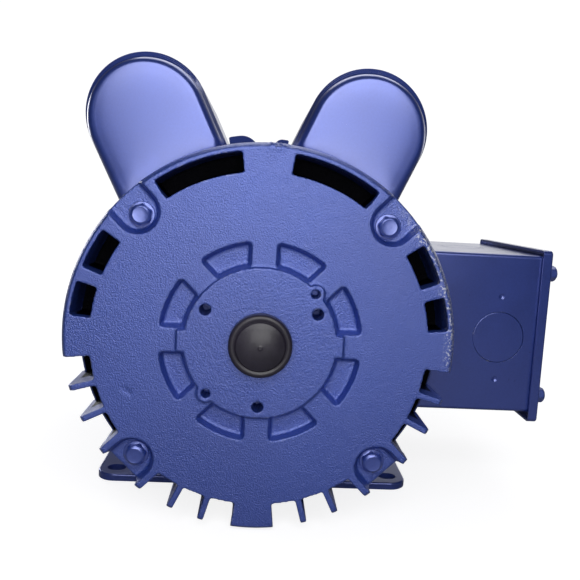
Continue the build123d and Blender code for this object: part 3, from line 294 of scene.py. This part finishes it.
def wound(name, dark, light):
    """Varnished enamelled wire laid in a ring about the shaft."""
    n = Nodes(name)
    wave = n.add("ShaderNodeTexWave", {"Scale": 210.0, "Distortion": 2.4, "Detail": 3.0},
                 wave_type="RINGS", rings_direction="Y")
    n.join(n.moved({"Location": (0, 0, -SHAFT_Z)}), wave.inputs["Vector"])
    strands = wave.outputs["Fac"]
    n.set(Base_Color=n.ramp(n.blend(strands, 0.6, n.noise(40.0)), (0.2, dark), (0.8, light)))
    n.set(Metallic=0.35, Roughness=n.span(n.noise(120.0), 0.3, 0.7, 0.28, 0.46))
    n.set(Normal=n.bump(strands, 0.9, 0.35 * MM), Coat_Weight=0.5, Coat_Roughness=0.2)
    return n.material


def laminated(name, dark, light):
    """Stacked thin steel sheets, seen edge on, with a little varnish and rust between them."""
    n = Nodes(name)
    wave = n.add("ShaderNodeTexWave", {"Scale": 320.0, "Distortion": 0.4}, wave_type="BANDS",
                 bands_direction="Y")
    n.join(n.place, wave.inputs["Vector"])
    sheets = wave.outputs["Fac"]
    rust = n.span(n.noise(55.0, 5.0, 0.65), 0.52, 0.7)
    base = n.ramp(sheets, (0.2, dark), (0.8, light))
    n.set(Base_Color=n.mixed(rust, base, (0.16, 0.075, 0.04)), Metallic=0.75)
    n.set(Roughness=n.span(n.noise(90.0), 0.3, 0.7, 0.36, 0.6), Normal=n.bump(sheets, 0.6, 0.1 * MM))
    return n.material


FINISH = {
    "cast_blue": paint("cast_blue_paint", (0.021, 0.056, 0.33), (0.034, 0.088, 0.46), rough=0.41,
                       grain=1080.0, grain_depth=0.48 * MM, chips=0.8, is_cast=True),
    "sheet_blue": paint("sheet_blue_paint", (0.018, 0.048, 0.31), (0.025, 0.064, 0.38), rough=0.33,
                        grain=700.0, grain_depth=0.016 * MM, chips=0.15),
    "painted_hardware": paint("hardware_paint", (0.024, 0.056, 0.33), (0.038, 0.084, 0.43), rough=0.34,
                              grain=700.0, grain_depth=0.04 * MM, chips=0.7),
    "zinc_steel": metal("zinc_steel", (0.40, 0.40, 0.38), (0.66, 0.65, 0.60), rough=0.34),
    "black_plastic": moulded("black_plastic", (0.010, 0.008, 0.015), (0.022, 0.018, 0.032), rough=0.40,
                             grain=700.0, depth=0.01 * MM, coat=0.10),
    "laminations": laminated("laminations", (0.10, 0.095, 0.09), (0.26, 0.25, 0.24)),
    "copper_winding": wound("copper_winding", (0.22, 0.06, 0.018), (0.60, 0.22, 0.08)),
    "insulation": moulded("insulation", (0.42, 0.34, 0.20), (0.62, 0.54, 0.36), rough=0.55,
                          grain=500.0, depth=0.06 * MM),
    "bright_steel": metal("bright_steel", (0.50, 0.50, 0.50), (0.74, 0.74, 0.73), rough=0.24,
                          scratch=(1, 14, 1), scratch_scale=160.0),
    "cast_aluminium": metal("cast_aluminium", (0.48, 0.48, 0.49), (0.66, 0.66, 0.67), rough=0.45,
                            scratch_scale=420.0, depth=0.08 * MM),
    "bearing_steel": metal("bearing_steel", (0.58, 0.58, 0.58), (0.78, 0.78, 0.77), rough=0.14,
                           scratch=(1, 6, 1), scratch_scale=120.0, depth=0.005 * MM),
    "phenolic": moulded("phenolic", (0.09, 0.030, 0.014), (0.16, 0.060, 0.028), rough=0.38, grain=600.0),
    "brass_parts": metal("brass_parts", (0.50, 0.34, 0.12), (0.78, 0.58, 0.26), rough=0.28),
    "governor_steel": metal("governor_steel", (0.46, 0.42, 0.30), (0.66, 0.60, 0.42), rough=0.36),
    "galvanised": metal("galvanised", (0.36, 0.37, 0.38), (0.58, 0.59, 0.60), rough=0.40, scratch_scale=60.0),
    "rubber_parts": moulded("rubber_parts", (0.012, 0.012, 0.013), (0.030, 0.030, 0.032), rough=0.70,
                            grain=800.0, depth=0.05 * MM),
}


# ---------------------------------------------------------------- mesh helpers
def joined_faces(node):
    """A bmesh with the shape of a CAD node, its triangles joined back into flat faces."""
    work = bmesh.new()
    work.from_mesh(frame["nodes"][node].data)
    bmesh.ops.remove_doubles(work, verts=work.verts, dist=MERGE)
    bmesh.ops.dissolve_limit(work, angle_limit=SAME_FACE, verts=work.verts, edges=work.edges)
    return work


def new_piece(name, work):
    """Turns a bmesh into an object."""
    mesh = bpy.data.meshes.new(name)
    work.to_mesh(mesh)
    work.free()
    return collection_add(name, mesh)


def dressed(piece, slot, body, *nodes, smooth=35.0):
    """Makes a piece ride on a body, wear its slot's finish and stand for CAD nodes."""
    piece.data.materials.clear()
    piece.data.materials.append(FINISH[slot])
    piece.data.shade_smooth()
    if smooth:
        piece.data.set_sharp_from_angle(angle=radians(smooth))
    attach(piece, body)
    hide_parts(*nodes)
    return piece


def finished(name, work, slot, body, *nodes, smooth=35.0):
    return dressed(new_piece(name, work), slot, body, *nodes, smooth=smooth)


def softened(node, slot, width, segments=2, body="stator"):
    """The CAD shape with its edges broken, as real pressed, sawn and turned parts have them."""
    piece = finished(node + "_finished", joined_faces(node), slot, body, node, smooth=None)
    bevel = piece.modifiers.new("edges", "BEVEL")
    bevel.width = width
    bevel.segments = segments
    bevel.limit_method = "ANGLE"
    bevel.angle_limit = BREAK_EDGE
    bevel.miter_outer = "MITER_ARC"
    piece.modifiers.new("even", "WEIGHTED_NORMAL").weight = 100


def settled(piece):
    """Applies the modifiers of a piece to its mesh."""
    bpy.context.view_layer.update()
    graph = bpy.context.evaluated_depsgraph_get()
    mesh = bpy.data.meshes.new_from_object(piece.evaluated_get(graph))
    piece.modifiers.clear()
    piece.data = mesh


def casting(node, slot, voxel, smooth_steps, keep, shape=None):
    """The CAD shape recast with soft edges and small fillets, as a sand casting has."""
    work = joined_faces(node)
    bmesh.ops.triangulate(work, faces=work.faces)
    piece = new_piece(node + "_casting", work)
    remesh = piece.modifiers.new("remesh", "REMESH")
    remesh.mode = "VOXEL"
    remesh.voxel_size = voxel
    settled(piece)
    if shape:
        points = np.empty(len(piece.data.vertices) * 3, np.float32)
        piece.data.vertices.foreach_get("co", points)
        points = shape(points.reshape(-1, 3))
        piece.data.vertices.foreach_set("co", points.astype(np.float32).ravel())
    relax = piece.modifiers.new("relax", "SMOOTH")
    relax.factor = 0.5
    relax.iterations = smooth_steps
    piece.modifiers.new("thin", "DECIMATE").ratio = keep
    settled(piece)
    return dressed(piece, slot, "stator", node, smooth=None)


def lathe(name, profile, slot, *nodes, turns=96, smooth=35.0):
    """A turned piece about the shaft's line. The profile is (radius, y) pairs, from the centre outwards."""
    work = bmesh.new()
    rings = []
    for radius, y in profile:
        count = turns if radius else 1
        ring = []
        for i in range(count):
            a = 2 * pi * i / count
            ring.append(work.verts.new((radius * cos(a), y, SHAFT_Z + radius * sin(a))))
        rings.append(ring)
    for near, far in zip(rings, rings[1:]):
        for i in range(turns):
            j = (i + 1) % turns
            corners = [near[i % len(near)], near[j % len(near)], far[j % len(far)], far[i % len(far)]]
            unique = list(dict.fromkeys(corners))
            if len(unique) > 2:
                work.faces.new(unique)
    bmesh.ops.recalc_face_normals(work, faces=work.faces)
    return finished(name, work, slot, "stator", *nodes, smooth=smooth)


def loft(work, rows):
    """Joins rows of points, all with the same count, into a skin that runs all the way round; its ends stay
    open.
    """
    made = [[work.verts.new(p) for p in row] for row in rows]
    for near, far in zip(made, made[1:]):
        count = len(near)
        for i in range(count):
            j = (i + 1) % count
            work.faces.new((near[i], near[j], far[j], far[i]))
    return made


# ---------------------------------------------------------------- the two cast endshields
FLASH_SPOT = Vector((4.5 * MM, FACE_Y + 2 * MM, SHAFT_Z + 112 * MM))
FLASH_REACH = (7.5, 6.0, 3.5)           # mm along x, y and z, as for the scar
FLASH_UP, FLASH_OUT = 1.8, 2.0          # mm
SCAR_SPOT = Vector((-75 * MM, FACE_Y, SHAFT_Z - 31 * MM))
SCAR_REACH = (6.0, 1.0, 6.0)
SCAR_LENGTH, SCAR_WIDTH = 5.0, 1.8      # half of each, in mm
SCAR_DEPTH, SCAR_UNEVEN = 0.45, 0.4     # mm


def near_spot(points, spot, reach):
    """The numbers of the points near a spot, each with its offset from the spot in mm."""
    near = np.abs(points - np.array(spot)) < np.array(reach) * MM
    for i in np.nonzero(near.all(axis=1))[0]:
        yield i, (Vector(points[i]) - spot) / MM


def faded(*ways):
    """1 in the middle of a mark and 0 at its edge. Each way is an offset and how far the mark reaches."""
    fade = 1.0
    for off, reach in ways:
        fade *= max(0.0, 1 - (off / reach) ** 2)
    return fade


def marked(points):
    """Adds a rough spot of casting flash at the top of the rim and a small scar on the left of the disc."""
    for i, off in near_spot(points, FLASH_SPOT, FLASH_REACH):
        fade = faded((off.x, FLASH_REACH[0]), (off.z, FLASH_REACH[2]))
        lump = noise.noise(off * 0.9) * 0.9 + noise.noise(off * 2.1) * 0.4
        points[i, 2] += lump * fade * FLASH_UP * MM
        points[i, 1] -= abs(lump) * fade * FLASH_OUT * MM
    for i, off in near_spot(points, SCAR_SPOT, SCAR_REACH):
        along, beside = 0.8 * off.x - 0.6 * off.z, 0.6 * off.x + 0.8 * off.z
        fade = faded((along, SCAR_LENGTH), (beside, SCAR_WIDTH))
        points[i, 1] += (SCAR_DEPTH + SCAR_UNEVEN * noise.noise(off * 1.3)) * fade * MM
    return points


casting("rear_endshield", "cast_blue", voxel=0.75 * MM, smooth_steps=3, keep=0.45, shape=marked)
casting("drive_endshield", "cast_blue", voxel=0.85 * MM, smooth_steps=3, keep=0.45)

# ---------------------------------------------------------------- capacitor covers
# Each cover has a round crest and two straight sides that stand on the shell. Its outline is drawn looking
# along the shaft, and grows and rises a little behind the front panel.
COVERS = (("left", -76.5, 127.9, 25.9), ("right", 62.0, 125.9, -24.2))  # crest x and z in mm, lean in degrees
COVER_R = 37.25 * MM
COVER_Y0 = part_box("capacitor_cover_left")[0].y
COVER_Y1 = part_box("capacitor_cover_left")[1].y
COVER_GROW = 2.0 * MM
COVER_RISE = 4.0 * MM
SIDE_STEPS, CREST_STEPS, FLOOR_STEPS = 10, 48, 24
FEET = (0, 2 * SIDE_STEPS + CREST_STEPS)        # places of the two feet in an outline
FOOT_CORNER = 5 * MM
CORNER_STEPS, CORNER_BOW = 6, 0.28
FLOOR_R = SHELL_R + 3.4 * MM
FLOOR_DROP = 0.6 * MM                           # the floor stands lower behind the front edge

FRONT_PANEL = ((26, 0.0), (18, 0.03), (12, 0.12), (8.6, 0.27), (6.6, 0.45))     # mm inwards and back
EDGE_INWARD, EDGE_DEEP, EDGE_START = 5.0 * MM, 9.0 * MM, 0.5 * MM
EDGE_STEPS, EDGE_SKIP = 8, 0.06                 # the front edge starts a share of the way round its curve
BODY_STEPS = (                                  # mm back from the front, grown and risen
    (9.6, 0.1, 0.2), (10.2, 0.55, 1.1), (13.2, 0.75, 1.5), (13.8, 1.2, 2.4), (16.8, 1.4, 2.8),
    (17.4, 1.85, 3.7), (20.4, 2.0, 4.0), (40.0, 2.0, 4.0), (90.0, 2.0, 4.0), (140.0, 2.0, 4.0),
    (161.6, 2.0, 4.0))
BACK_START = 161.6 * MM
BACK_EDGE, BACK_STEPS = 3.6 * MM, 5
BACK_IN, BACK_DEEP = 0.9, 0.92                  # the back edge's rounding, in parts of BACK_EDGE
BACK_INSET, BACK_BULGE = 12 * MM, 0.04 * MM

SHEET_T = 1.2 * MM
FLANGE_GAP = 0.05 * MM
FLANGE_FRONT = 13 * MM
FLANGE_TURN = 8.5                               # degrees about the shaft
EAR_OF = {"left": (1, 8.5, 14.6), "right": (-1, 4.8, 12.4)}     # side, degrees about the shaft, mm high
EAR_LEAN = 0.75                                 # how far back an ear leans for its height
EAR_FALL = 7 * MM                               # how much lower an ear's outer end is
EAR_FLAT = 0.35                                 # share of the ear's width before it falls
EAR_STEPS = 16


def cover_outline(cover, grow, rise, floor_r, corner):
    """The cover's outline: two straight sides and a round crest, standing on a circle about the shaft."""
    _, cx, cz, lean = cover
    up = Vector((-sin(radians(lean)), cos(radians(lean))))
    right = Vector((up.y, -up.x))
    centre = Vector((cx * MM, cz * MM)) + up * rise
    r = COVER_R + grow

    def foot(side):
        start = centre + right * side * r
        along = start.dot(up)
        drop = along - sqrt(along * along - start.length_squared + floor_r * floor_r)
        return start - up * drop

    feet = {side: foot(side) for side in (1, -1)}
    points = []
    for i in range(SIDE_STEPS):
        points.append(feet[1].lerp(centre + right * r, (i / SIDE_STEPS) ** 0.8))
    for i in range(CREST_STEPS + 1):
        a = pi * i / CREST_STEPS
        points.append(centre + right * r * cos(a) + up * r * sin(a))
    for i in range(1, SIDE_STEPS + 1):
        points.append((centre - right * r).lerp(feet[-1], (i / SIDE_STEPS) ** 1.2))
    first = atan2(feet[-1].y, feet[-1].x)
    last = atan2(feet[1].y, feet[1].x)
    for i in range(1, FLOOR_STEPS):
        a = first + (last - first) * i / FLOOR_STEPS
        points.append(Vector((cos(a), sin(a))) * floor_r)
    return rounded_corners(points, corner)


def rounded_corners(points, radius):
    """Moves the points near each foot onto a smooth curve through the corner's two sides."""
    count = len(points)
    out = [p.copy() for p in points]
    for place in FEET:
        corner = points[place]
        for step in range(-CORNER_STEPS, CORNER_STEPS + 1):
            i = (place + step) % count
            distance = (points[i] - corner).length
            if distance < radius:
                share = 1 - distance / radius
                before = points[(place - CORNER_STEPS) % count] - corner
                after = points[(place + CORNER_STEPS) % count] - corner
                middle = (before.normalized() + after.normalized()) * radius * CORNER_BOW
                out[i] = points[i] + middle * share * share
    return out


def cover_rows():
    """How far each outline of a cover has grown and risen, its depth and how much its floor drops."""
    for inset, depth in FRONT_PANEL:
        yield -inset * MM, 0, depth * MM, 0
    for i in range(EDGE_STEPS + 1):
        a = pi / 2 * (EDGE_SKIP + (1 - EDGE_SKIP) * i / EDGE_STEPS)
        yield -EDGE_INWARD * (1 - sin(a)), 0, EDGE_START + (EDGE_DEEP - EDGE_START) * (1 - cos(a)), 0
    for depth, grow, rise in BODY_STEPS:
        yield grow * MM, rise * MM, depth * MM, FLOOR_DROP
    for i in range(1, BACK_STEPS + 1):
        a = pi / 2 * i / BACK_STEPS
        yield (COVER_GROW - BACK_EDGE * (1 - cos(a)) * BACK_IN, COVER_RISE,
               BACK_START + BACK_EDGE * BACK_DEEP * sin(a), FLOOR_DROP)
    yield COVER_GROW - BACK_INSET, COVER_RISE, BACK_START + BACK_EDGE * BACK_DEEP + BACK_BULGE, FLOOR_DROP


def capacitor_cover(cover):
    """A pressed cover: a soft front edge, three small steps behind it, a long body and its flanges."""
    work = bmesh.new()
    loops = []
    for grow, rise, depth, floor_drop in cover_rows():
        floor_r = FLOOR_R - grow if grow < 0 else FLOOR_R - floor_drop
        outline = cover_outline(cover, grow, rise, floor_r, FOOT_CORNER)
        loops.append([(p.x, COVER_Y0 + depth, p.y + SHAFT_Z) for p in outline])
    made = loft(work, loops)
    work.faces.new(made[0])
    work.faces.new(made[-1])
    bmesh.ops.recalc_face_normals(work, faces=work.faces)
    cover_flanges(work, cover)
    return finished("capacitor_cover_%s_pressed" % cover[0], work, "sheet_blue", "stator",
                    "capacitor_cover_" + cover[0], smooth=40)


def arc_strip(work, start, end, inner, top_at, y0, y1, lean=0.0, steps=8):
    """A strip of sheet bent about the shaft. top_at gives its outer radius at each share of the way."""
    rows = []
    for i in range(steps + 1):
        a = start + (end - start) * i / steps
        top = top_at(i / steps)
        back = lean * (top - inner)
        section = [(inner, y0), (inner, y1), (top, y1 + back), (top, y0 + back)]
        rows.append([(r * cos(a), y, r * sin(a) + SHAFT_Z) for r, y in section])
    made = loft(work, rows)
    work.faces.new(made[0])
    work.faces.new(list(reversed(made[-1])))


def cover_flanges(work, cover):
    """The strips along the cover's sides that lie on the shell, and the upturned ear at the front of one."""
    outline = cover_outline(cover, COVER_GROW, COVER_RISE, SHELL_R, 0.1 * MM)
    inner, outer = SHELL_R + FLANGE_GAP, SHELL_R + SHEET_T
    front_y = COVER_Y0 + FLANGE_FRONT
    ear_side, ear_turn, ear_high = EAR_OF[cover[0]]
    crown = outer + (ear_high * MM - SHEET_T)

    def ear_top(share):
        fall = EAR_FALL * max(0.0, (share - EAR_FLAT) / (1 - EAR_FLAT)) ** 2.4
        return crown - fall - 0.5 * MM * (share < 0.05)

    for place, side in zip(FEET, (-1, 1)):
        foot = atan2(outline[place].y, outline[place].x)
        arc_strip(work, foot - side * radians(0.5), foot + side * radians(FLANGE_TURN), inner,
                  lambda share: outer, front_y, COVER_Y1)
        if side == -ear_side:
            arc_strip(work, foot - side * radians(0.3), foot + side * radians(ear_turn), inner,
                      ear_top, front_y, front_y + SHEET_T, EAR_LEAN, EAR_STEPS)
    bmesh.ops.recalc_face_normals(work, faces=work.faces)


for cover_data in COVERS:
    capacitor_cover(cover_data)

# ---------------------------------------------------------------- bearing plug
NIPPLE = [(0, 11.0), (0.9, 11.0), (1.3, 10.75), (2.0, 10.7)]    # radius and height over the hub, in mm
DOME_START, DOME_R, DOME_TOP, DOME_FALL, DOME_STEPS = 2.0, 13.6, 10.7, 2.6, 8
GROOVE = [(14.2, 7.3), (14.5, 7.0), (15.3, 7.35)]
BEAD_CENTRE, BEAD_R, BEAD_STEPS = (16.0, 5.3), 2.15, 6
SKIRT = [(18.15, 0.25), (17.9, 0.0), (17.0, 0.0)]


def plug_profile():
    """The plug from its centre outwards: a small nipple, a shallow dome, a groove, a bead and a skirt."""
    profile = list(NIPPLE)
    for i in range(1, DOME_STEPS + 1):
        r = DOME_START + (DOME_R - DOME_START) * i / DOME_STEPS
        profile.append((r, DOME_TOP - DOME_FALL * (r / DOME_R) ** 2.2))
    profile += GROOVE
    for i in range(BEAD_STEPS + 1):
        a = pi / 2 * i / BEAD_STEPS
        profile.append((BEAD_CENTRE[0] + BEAD_R * sin(a), BEAD_CENTRE[1] + BEAD_R * cos(a)))
    profile += SKIRT
    return [(r * MM, HUB_Y - rise * MM) for r, rise in profile]


lathe("rear_bearing_plug_moulded", plug_profile(), "black_plastic", "rear_bearing_plug", smooth=30)

# ---------------------------------------------------------------- hexagon washer head screws
HEAD_POINTS, ROD_POINTS = 48, 20
UNCLIPPED = 9.0                 # a clipping radius far outside any hexagon
SEAT_SINK = 0.5 * MM            # the washer's underside lies this far inside the seat
FIRST_TURN, NEXT_TURN = 0.4, 1.3    # each head is turned further than the one before, in radians


def islands(node):
    """The boxes of the separate solids in a CAD node."""
    work = bmesh.new()
    work.from_mesh(frame["nodes"][node].data)
    bmesh.ops.remove_doubles(work, verts=work.verts, dist=MERGE)
    found, seen = [], set()
    for vert in work.verts:
        if vert in seen:
            continue
        group, waiting = [], [vert]
        seen.add(vert)
        while waiting:
            at = waiting.pop()
            group.append(at.co.copy())
            for edge in at.link_edges:
                other = edge.other_vert(at)
                if other not in seen:
                    seen.add(other)
                    waiting.append(other)
        found.append(([min(c) for c in zip(*group)], [max(c) for c in zip(*group)]))
    work.free()
    return sorted(found)


def circle(radius, points):
    return [(radius, 2 * pi * i / points) for i in range(points)]


def hexagon(flats, clip_r, turn):
    """A hexagon clipped by a circle, as (radius, angle) pairs."""
    section = []
    for _, a in circle(clip_r, HEAD_POINTS):
        off = (a - turn) % (pi / 3) - pi / 6
        section.append((min(flats / 2 / cos(off), clip_r), a))
    return section


def hex_screw(work, origin, along, washer_r, washer_t, flats, height, rod_r, rod_len, turn, crown):
    """A forged washer head with a crowned hexagon, and its plain rod. It points along a vector."""
    along = Vector(along)
    side = along.orthogonal().normalized()
    up = along.cross(side)
    tip = height + washer_t
    half = flats / 2

    def skin(rows):
        """Lofts (lift, section) rows and closes both ends."""
        made = loft(work, [[Vector(origin) + along * lift + side * (r * cos(a)) + up * (r * sin(a))
                            for r, a in section] for lift, section in rows])
        work.faces.new(made[-1])
        work.faces.new(list(reversed(made[0])))

    washer = ((0.0, washer_r - 0.25 * MM), (0.18 * MM, washer_r), (washer_t - 0.25 * MM, washer_r),
              (washer_t, washer_r - 0.3 * MM), (washer_t + 0.10 * MM, half + 0.75 * MM))
    sides = ((washer_t + 0.35 * MM, UNCLIPPED), (tip - 1.9 * MM, UNCLIPPED), (tip - 1.5 * MM, half * 1.115),
             (tip - 0.9 * MM, half * 1.02))
    top = ((tip - 0.12 * MM, crown + 0.12 * MM), (tip, crown - 0.2 * MM), (tip - 0.14 * MM, crown * 0.80),
           (tip - 0.16 * MM, crown * 0.3))
    skin([(lift, circle(radius, HEAD_POINTS)) for lift, radius in washer]
         + [(lift, hexagon(flats, radius, turn)) for lift, radius in sides]
         + [(lift, circle(radius, HEAD_POINTS)) for lift, radius in top])
    skin([(-depth, circle(radius, ROD_POINTS)) for depth, radius in
          ((0.0, rod_r), (rod_len - 0.6 * MM, rod_r), (rod_len, rod_r - 0.5 * MM))])


def axial_screws(node, along, head, washer_r, washer_t, flats, rod_r, crown):
    """All the screws of a CAD node whose heads point along one axis, as one detailed piece."""
    work = bmesh.new()
    axis = [i for i in range(3) if along[i]][0]
    for count, (low, high) in enumerate(islands(node)):
        origin = [(a + b) / 2 for a, b in zip(low, high)]
        ends = (low[axis], high[axis]) if along[axis] < 0 else (high[axis], low[axis])
        origin[axis] = ends[0] - along[axis] * (head + SEAT_SINK)
        hex_screw(work, origin, along, washer_r, washer_t, flats, head + SEAT_SINK - washer_t, rod_r,
                  abs(ends[1] - origin[axis]), FIRST_TURN + NEXT_TURN * count, crown)
    bmesh.ops.recalc_face_normals(work, faces=work.faces)
    return finished(node + "_heads", work, "painted_hardware", "stator", node, smooth=28)


axial_screws("through_bolts", (0, -1, 0), head=5.4 * MM, washer_r=7.4 * MM, washer_t=1.2 * MM,
             flats=11.1 * MM, rod_r=3.1 * MM, crown=4.5 * MM)
axial_screws("lid_screws", (1, 0, 0), head=5.2 * MM, washer_r=6.2 * MM, washer_t=1.0 * MM,
             flats=9.5 * MM, rod_r=2.4 * MM, crown=3.6 * MM)

# ---------------------------------------------------------------- CAD shapes with broken edges
for node, slot, width, segments in (
    ("conduit_box", "sheet_blue", 1.0, 3),
    ("conduit_box_lid", "sheet_blue", 0.5, 2),
    ("through_bolt_nuts", "zinc_steel", 0.4, 2),
    ("cover_screws", "painted_hardware", 0.3, 2),
    ("base_plate", "sheet_blue", 0.8, 3),
    ("base_saddles", "sheet_blue", 0.6, 2),
    ("frame_shell", "sheet_blue", 0.6, 2),
    ("knockout_discs", "sheet_blue", 0.5, 2),
    ("nameplate", "galvanised", 0.15, 2),
    ("bearing_cap_screws", "zinc_steel", 0.3, 2),
):
    softened(node, slot, width * MM, segments)
softened("shaft", "bright_steel", 0.4 * MM, 2, "rotor")

# ---------------------------------------------------------------- the other CAD nodes wear their finish
SLOT_OF = {}
for entry in frame["record"]["materials"]:
    for node in entry.get("nodes", []):
        SLOT_OF[node] = entry["slot"]
for node, piece in frame["nodes"].items():
    if not piece.hide_render:
        for place in piece.material_slots:
            place.material = FINISH[SLOT_OF.get(node, place.material.name)]

# ---------------------------------------------------------------- floor
FLOOR_DARK, FLOOR_LIGHT = (0.30, 0.30, 0.32), (0.33, 0.33, 0.35)
floor_mesh = bmesh.new()
bmesh.ops.create_grid(floor_mesh, x_segments=2, y_segments=2, size=3.0)
floor = new_piece("floor", floor_mesh)
floor.location.z = CAD_BOX[0].z
pale = Nodes("pale_floor")
pale.set(Base_Color=pale.ramp(pale.noise(2.0), (0.3, FLOOR_DARK), (0.7, FLOOR_LIGHT)), Roughness=0.7)
away = pale.add("ShaderNodeVectorMath", operation="LENGTH")
pale.join(pale.place, away.inputs[0])
# Painted shadow: the floor glows a little less under the motor, so it looks grey there, and glows backdrop
# white further out.
glow_with_painted_shadow = pale.span(away.outputs["Value"], 0.16, 0.5, 0.84, 1.0)
seen = pale.math("MULTIPLY", pale.add("ShaderNodeLightPath").outputs["Is Camera Ray"], glow_with_painted_shadow)
pale.set(Specular_IOR_Level=0.2, Emission_Color=(1, 1, 1, 1), Emission_Strength=seen)
floor.data.materials.append(pale.material)

# ---------------------------------------------------------------- studio light
# The camera sees a white backdrop. The motor is lit by a dim room with a soft glow low behind it,
# on the conduit box's side.
BACKDROP = (1.05, 1.05, 1.05)
ROOM_LIGHT, GLOW_LIGHT = 0.05, 1.2
world = bpy.data.worlds.new("studio")
bpy.context.scene.world = world
world.use_nodes = True
studio = NodeTree(world.node_tree)
split = studio.add("ShaderNodeSeparateXYZ")
studio.join(studio.add("ShaderNodeTexCoord").outputs["Generated"], split.inputs[0])
behind = studio.span(split.outputs["Y"], 0.35, 0.75)
low = studio.span(split.outputs["Z"], 0.42, 0.12)
aside = studio.span(split.outputs["X"], -0.22, 0.08)
glow = studio.math("MULTIPLY", studio.math("MULTIPLY", behind, low), aside)
lit = studio.span(glow, 0.0, 1.0, ROOM_LIGHT, GLOW_LIGHT)
to_camera = studio.add("ShaderNodeLightPath").outputs["Is Camera Ray"]
background = studio.add("ShaderNodeBackground")
studio.join(studio.mixed(to_camera, lit, BACKDROP), background.inputs["Color"])
studio.join(background.outputs[0], studio.add("ShaderNodeOutputWorld").inputs["Surface"])


def soft_light(name, place, target, size, power):
    data = bpy.data.lights.new(name, "AREA")
    data.shape = "RECTANGLE"
    data.size, data.size_y = size
    data.energy = power
    lamp = collection_add(name, data)
    lamp.location = place
    lamp.visible_camera = False
    lamp.rotation_euler = (Vector(target) - Vector(place)).to_track_quat("-Z", "Y").to_euler()


soft_light("key", (0.0, -0.62, 0.50), target=(0, -0.12, 0.17), size=(0.62, 0.34), power=2.55)
soft_light("low_front", (0.0, -0.70, 0.20), target=(0, -0.12, 0.15), size=(0.36, 0.22), power=1.0)
soft_light("back_top", (0.15, 0.9, 1.35), target=(0, 0.05, 0.14), size=(1.4, 0.9), power=7.0)
soft_light("back_side", (-0.9, 0.95, 0.35), target=(0, 0.1, 0.12), size=(0.5, 0.4), power=3.0)

# ---------------------------------------------------------------- camera
CAMERA_LENS, CAMERA_FRAME = 42.69, 36.0         # mm
CAMERA_PLACE = (-0.00375, -0.53618, 0.19677)
CAMERA_YAW, CAMERA_DOWN, CAMERA_ROLL = radians(2.836), radians(7.479), radians(3.030)
camera_data = bpy.data.cameras.new("camera")
camera_data.lens = CAMERA_LENS
camera_data.sensor_width = CAMERA_FRAME
camera = collection_add("camera", camera_data)
turned = Matrix.Rotation(-CAMERA_YAW, 4, "Z") @ Matrix.Rotation(pi / 2 - CAMERA_DOWN, 4, "X")
turned = turned @ Matrix.Rotation(CAMERA_ROLL, 4, "Z")
camera.matrix_world = Matrix.Translation(CAMERA_PLACE) @ turned
bpy.context.scene.camera = camera
bpy.context.scene.view_settings.view_transform = "Standard"
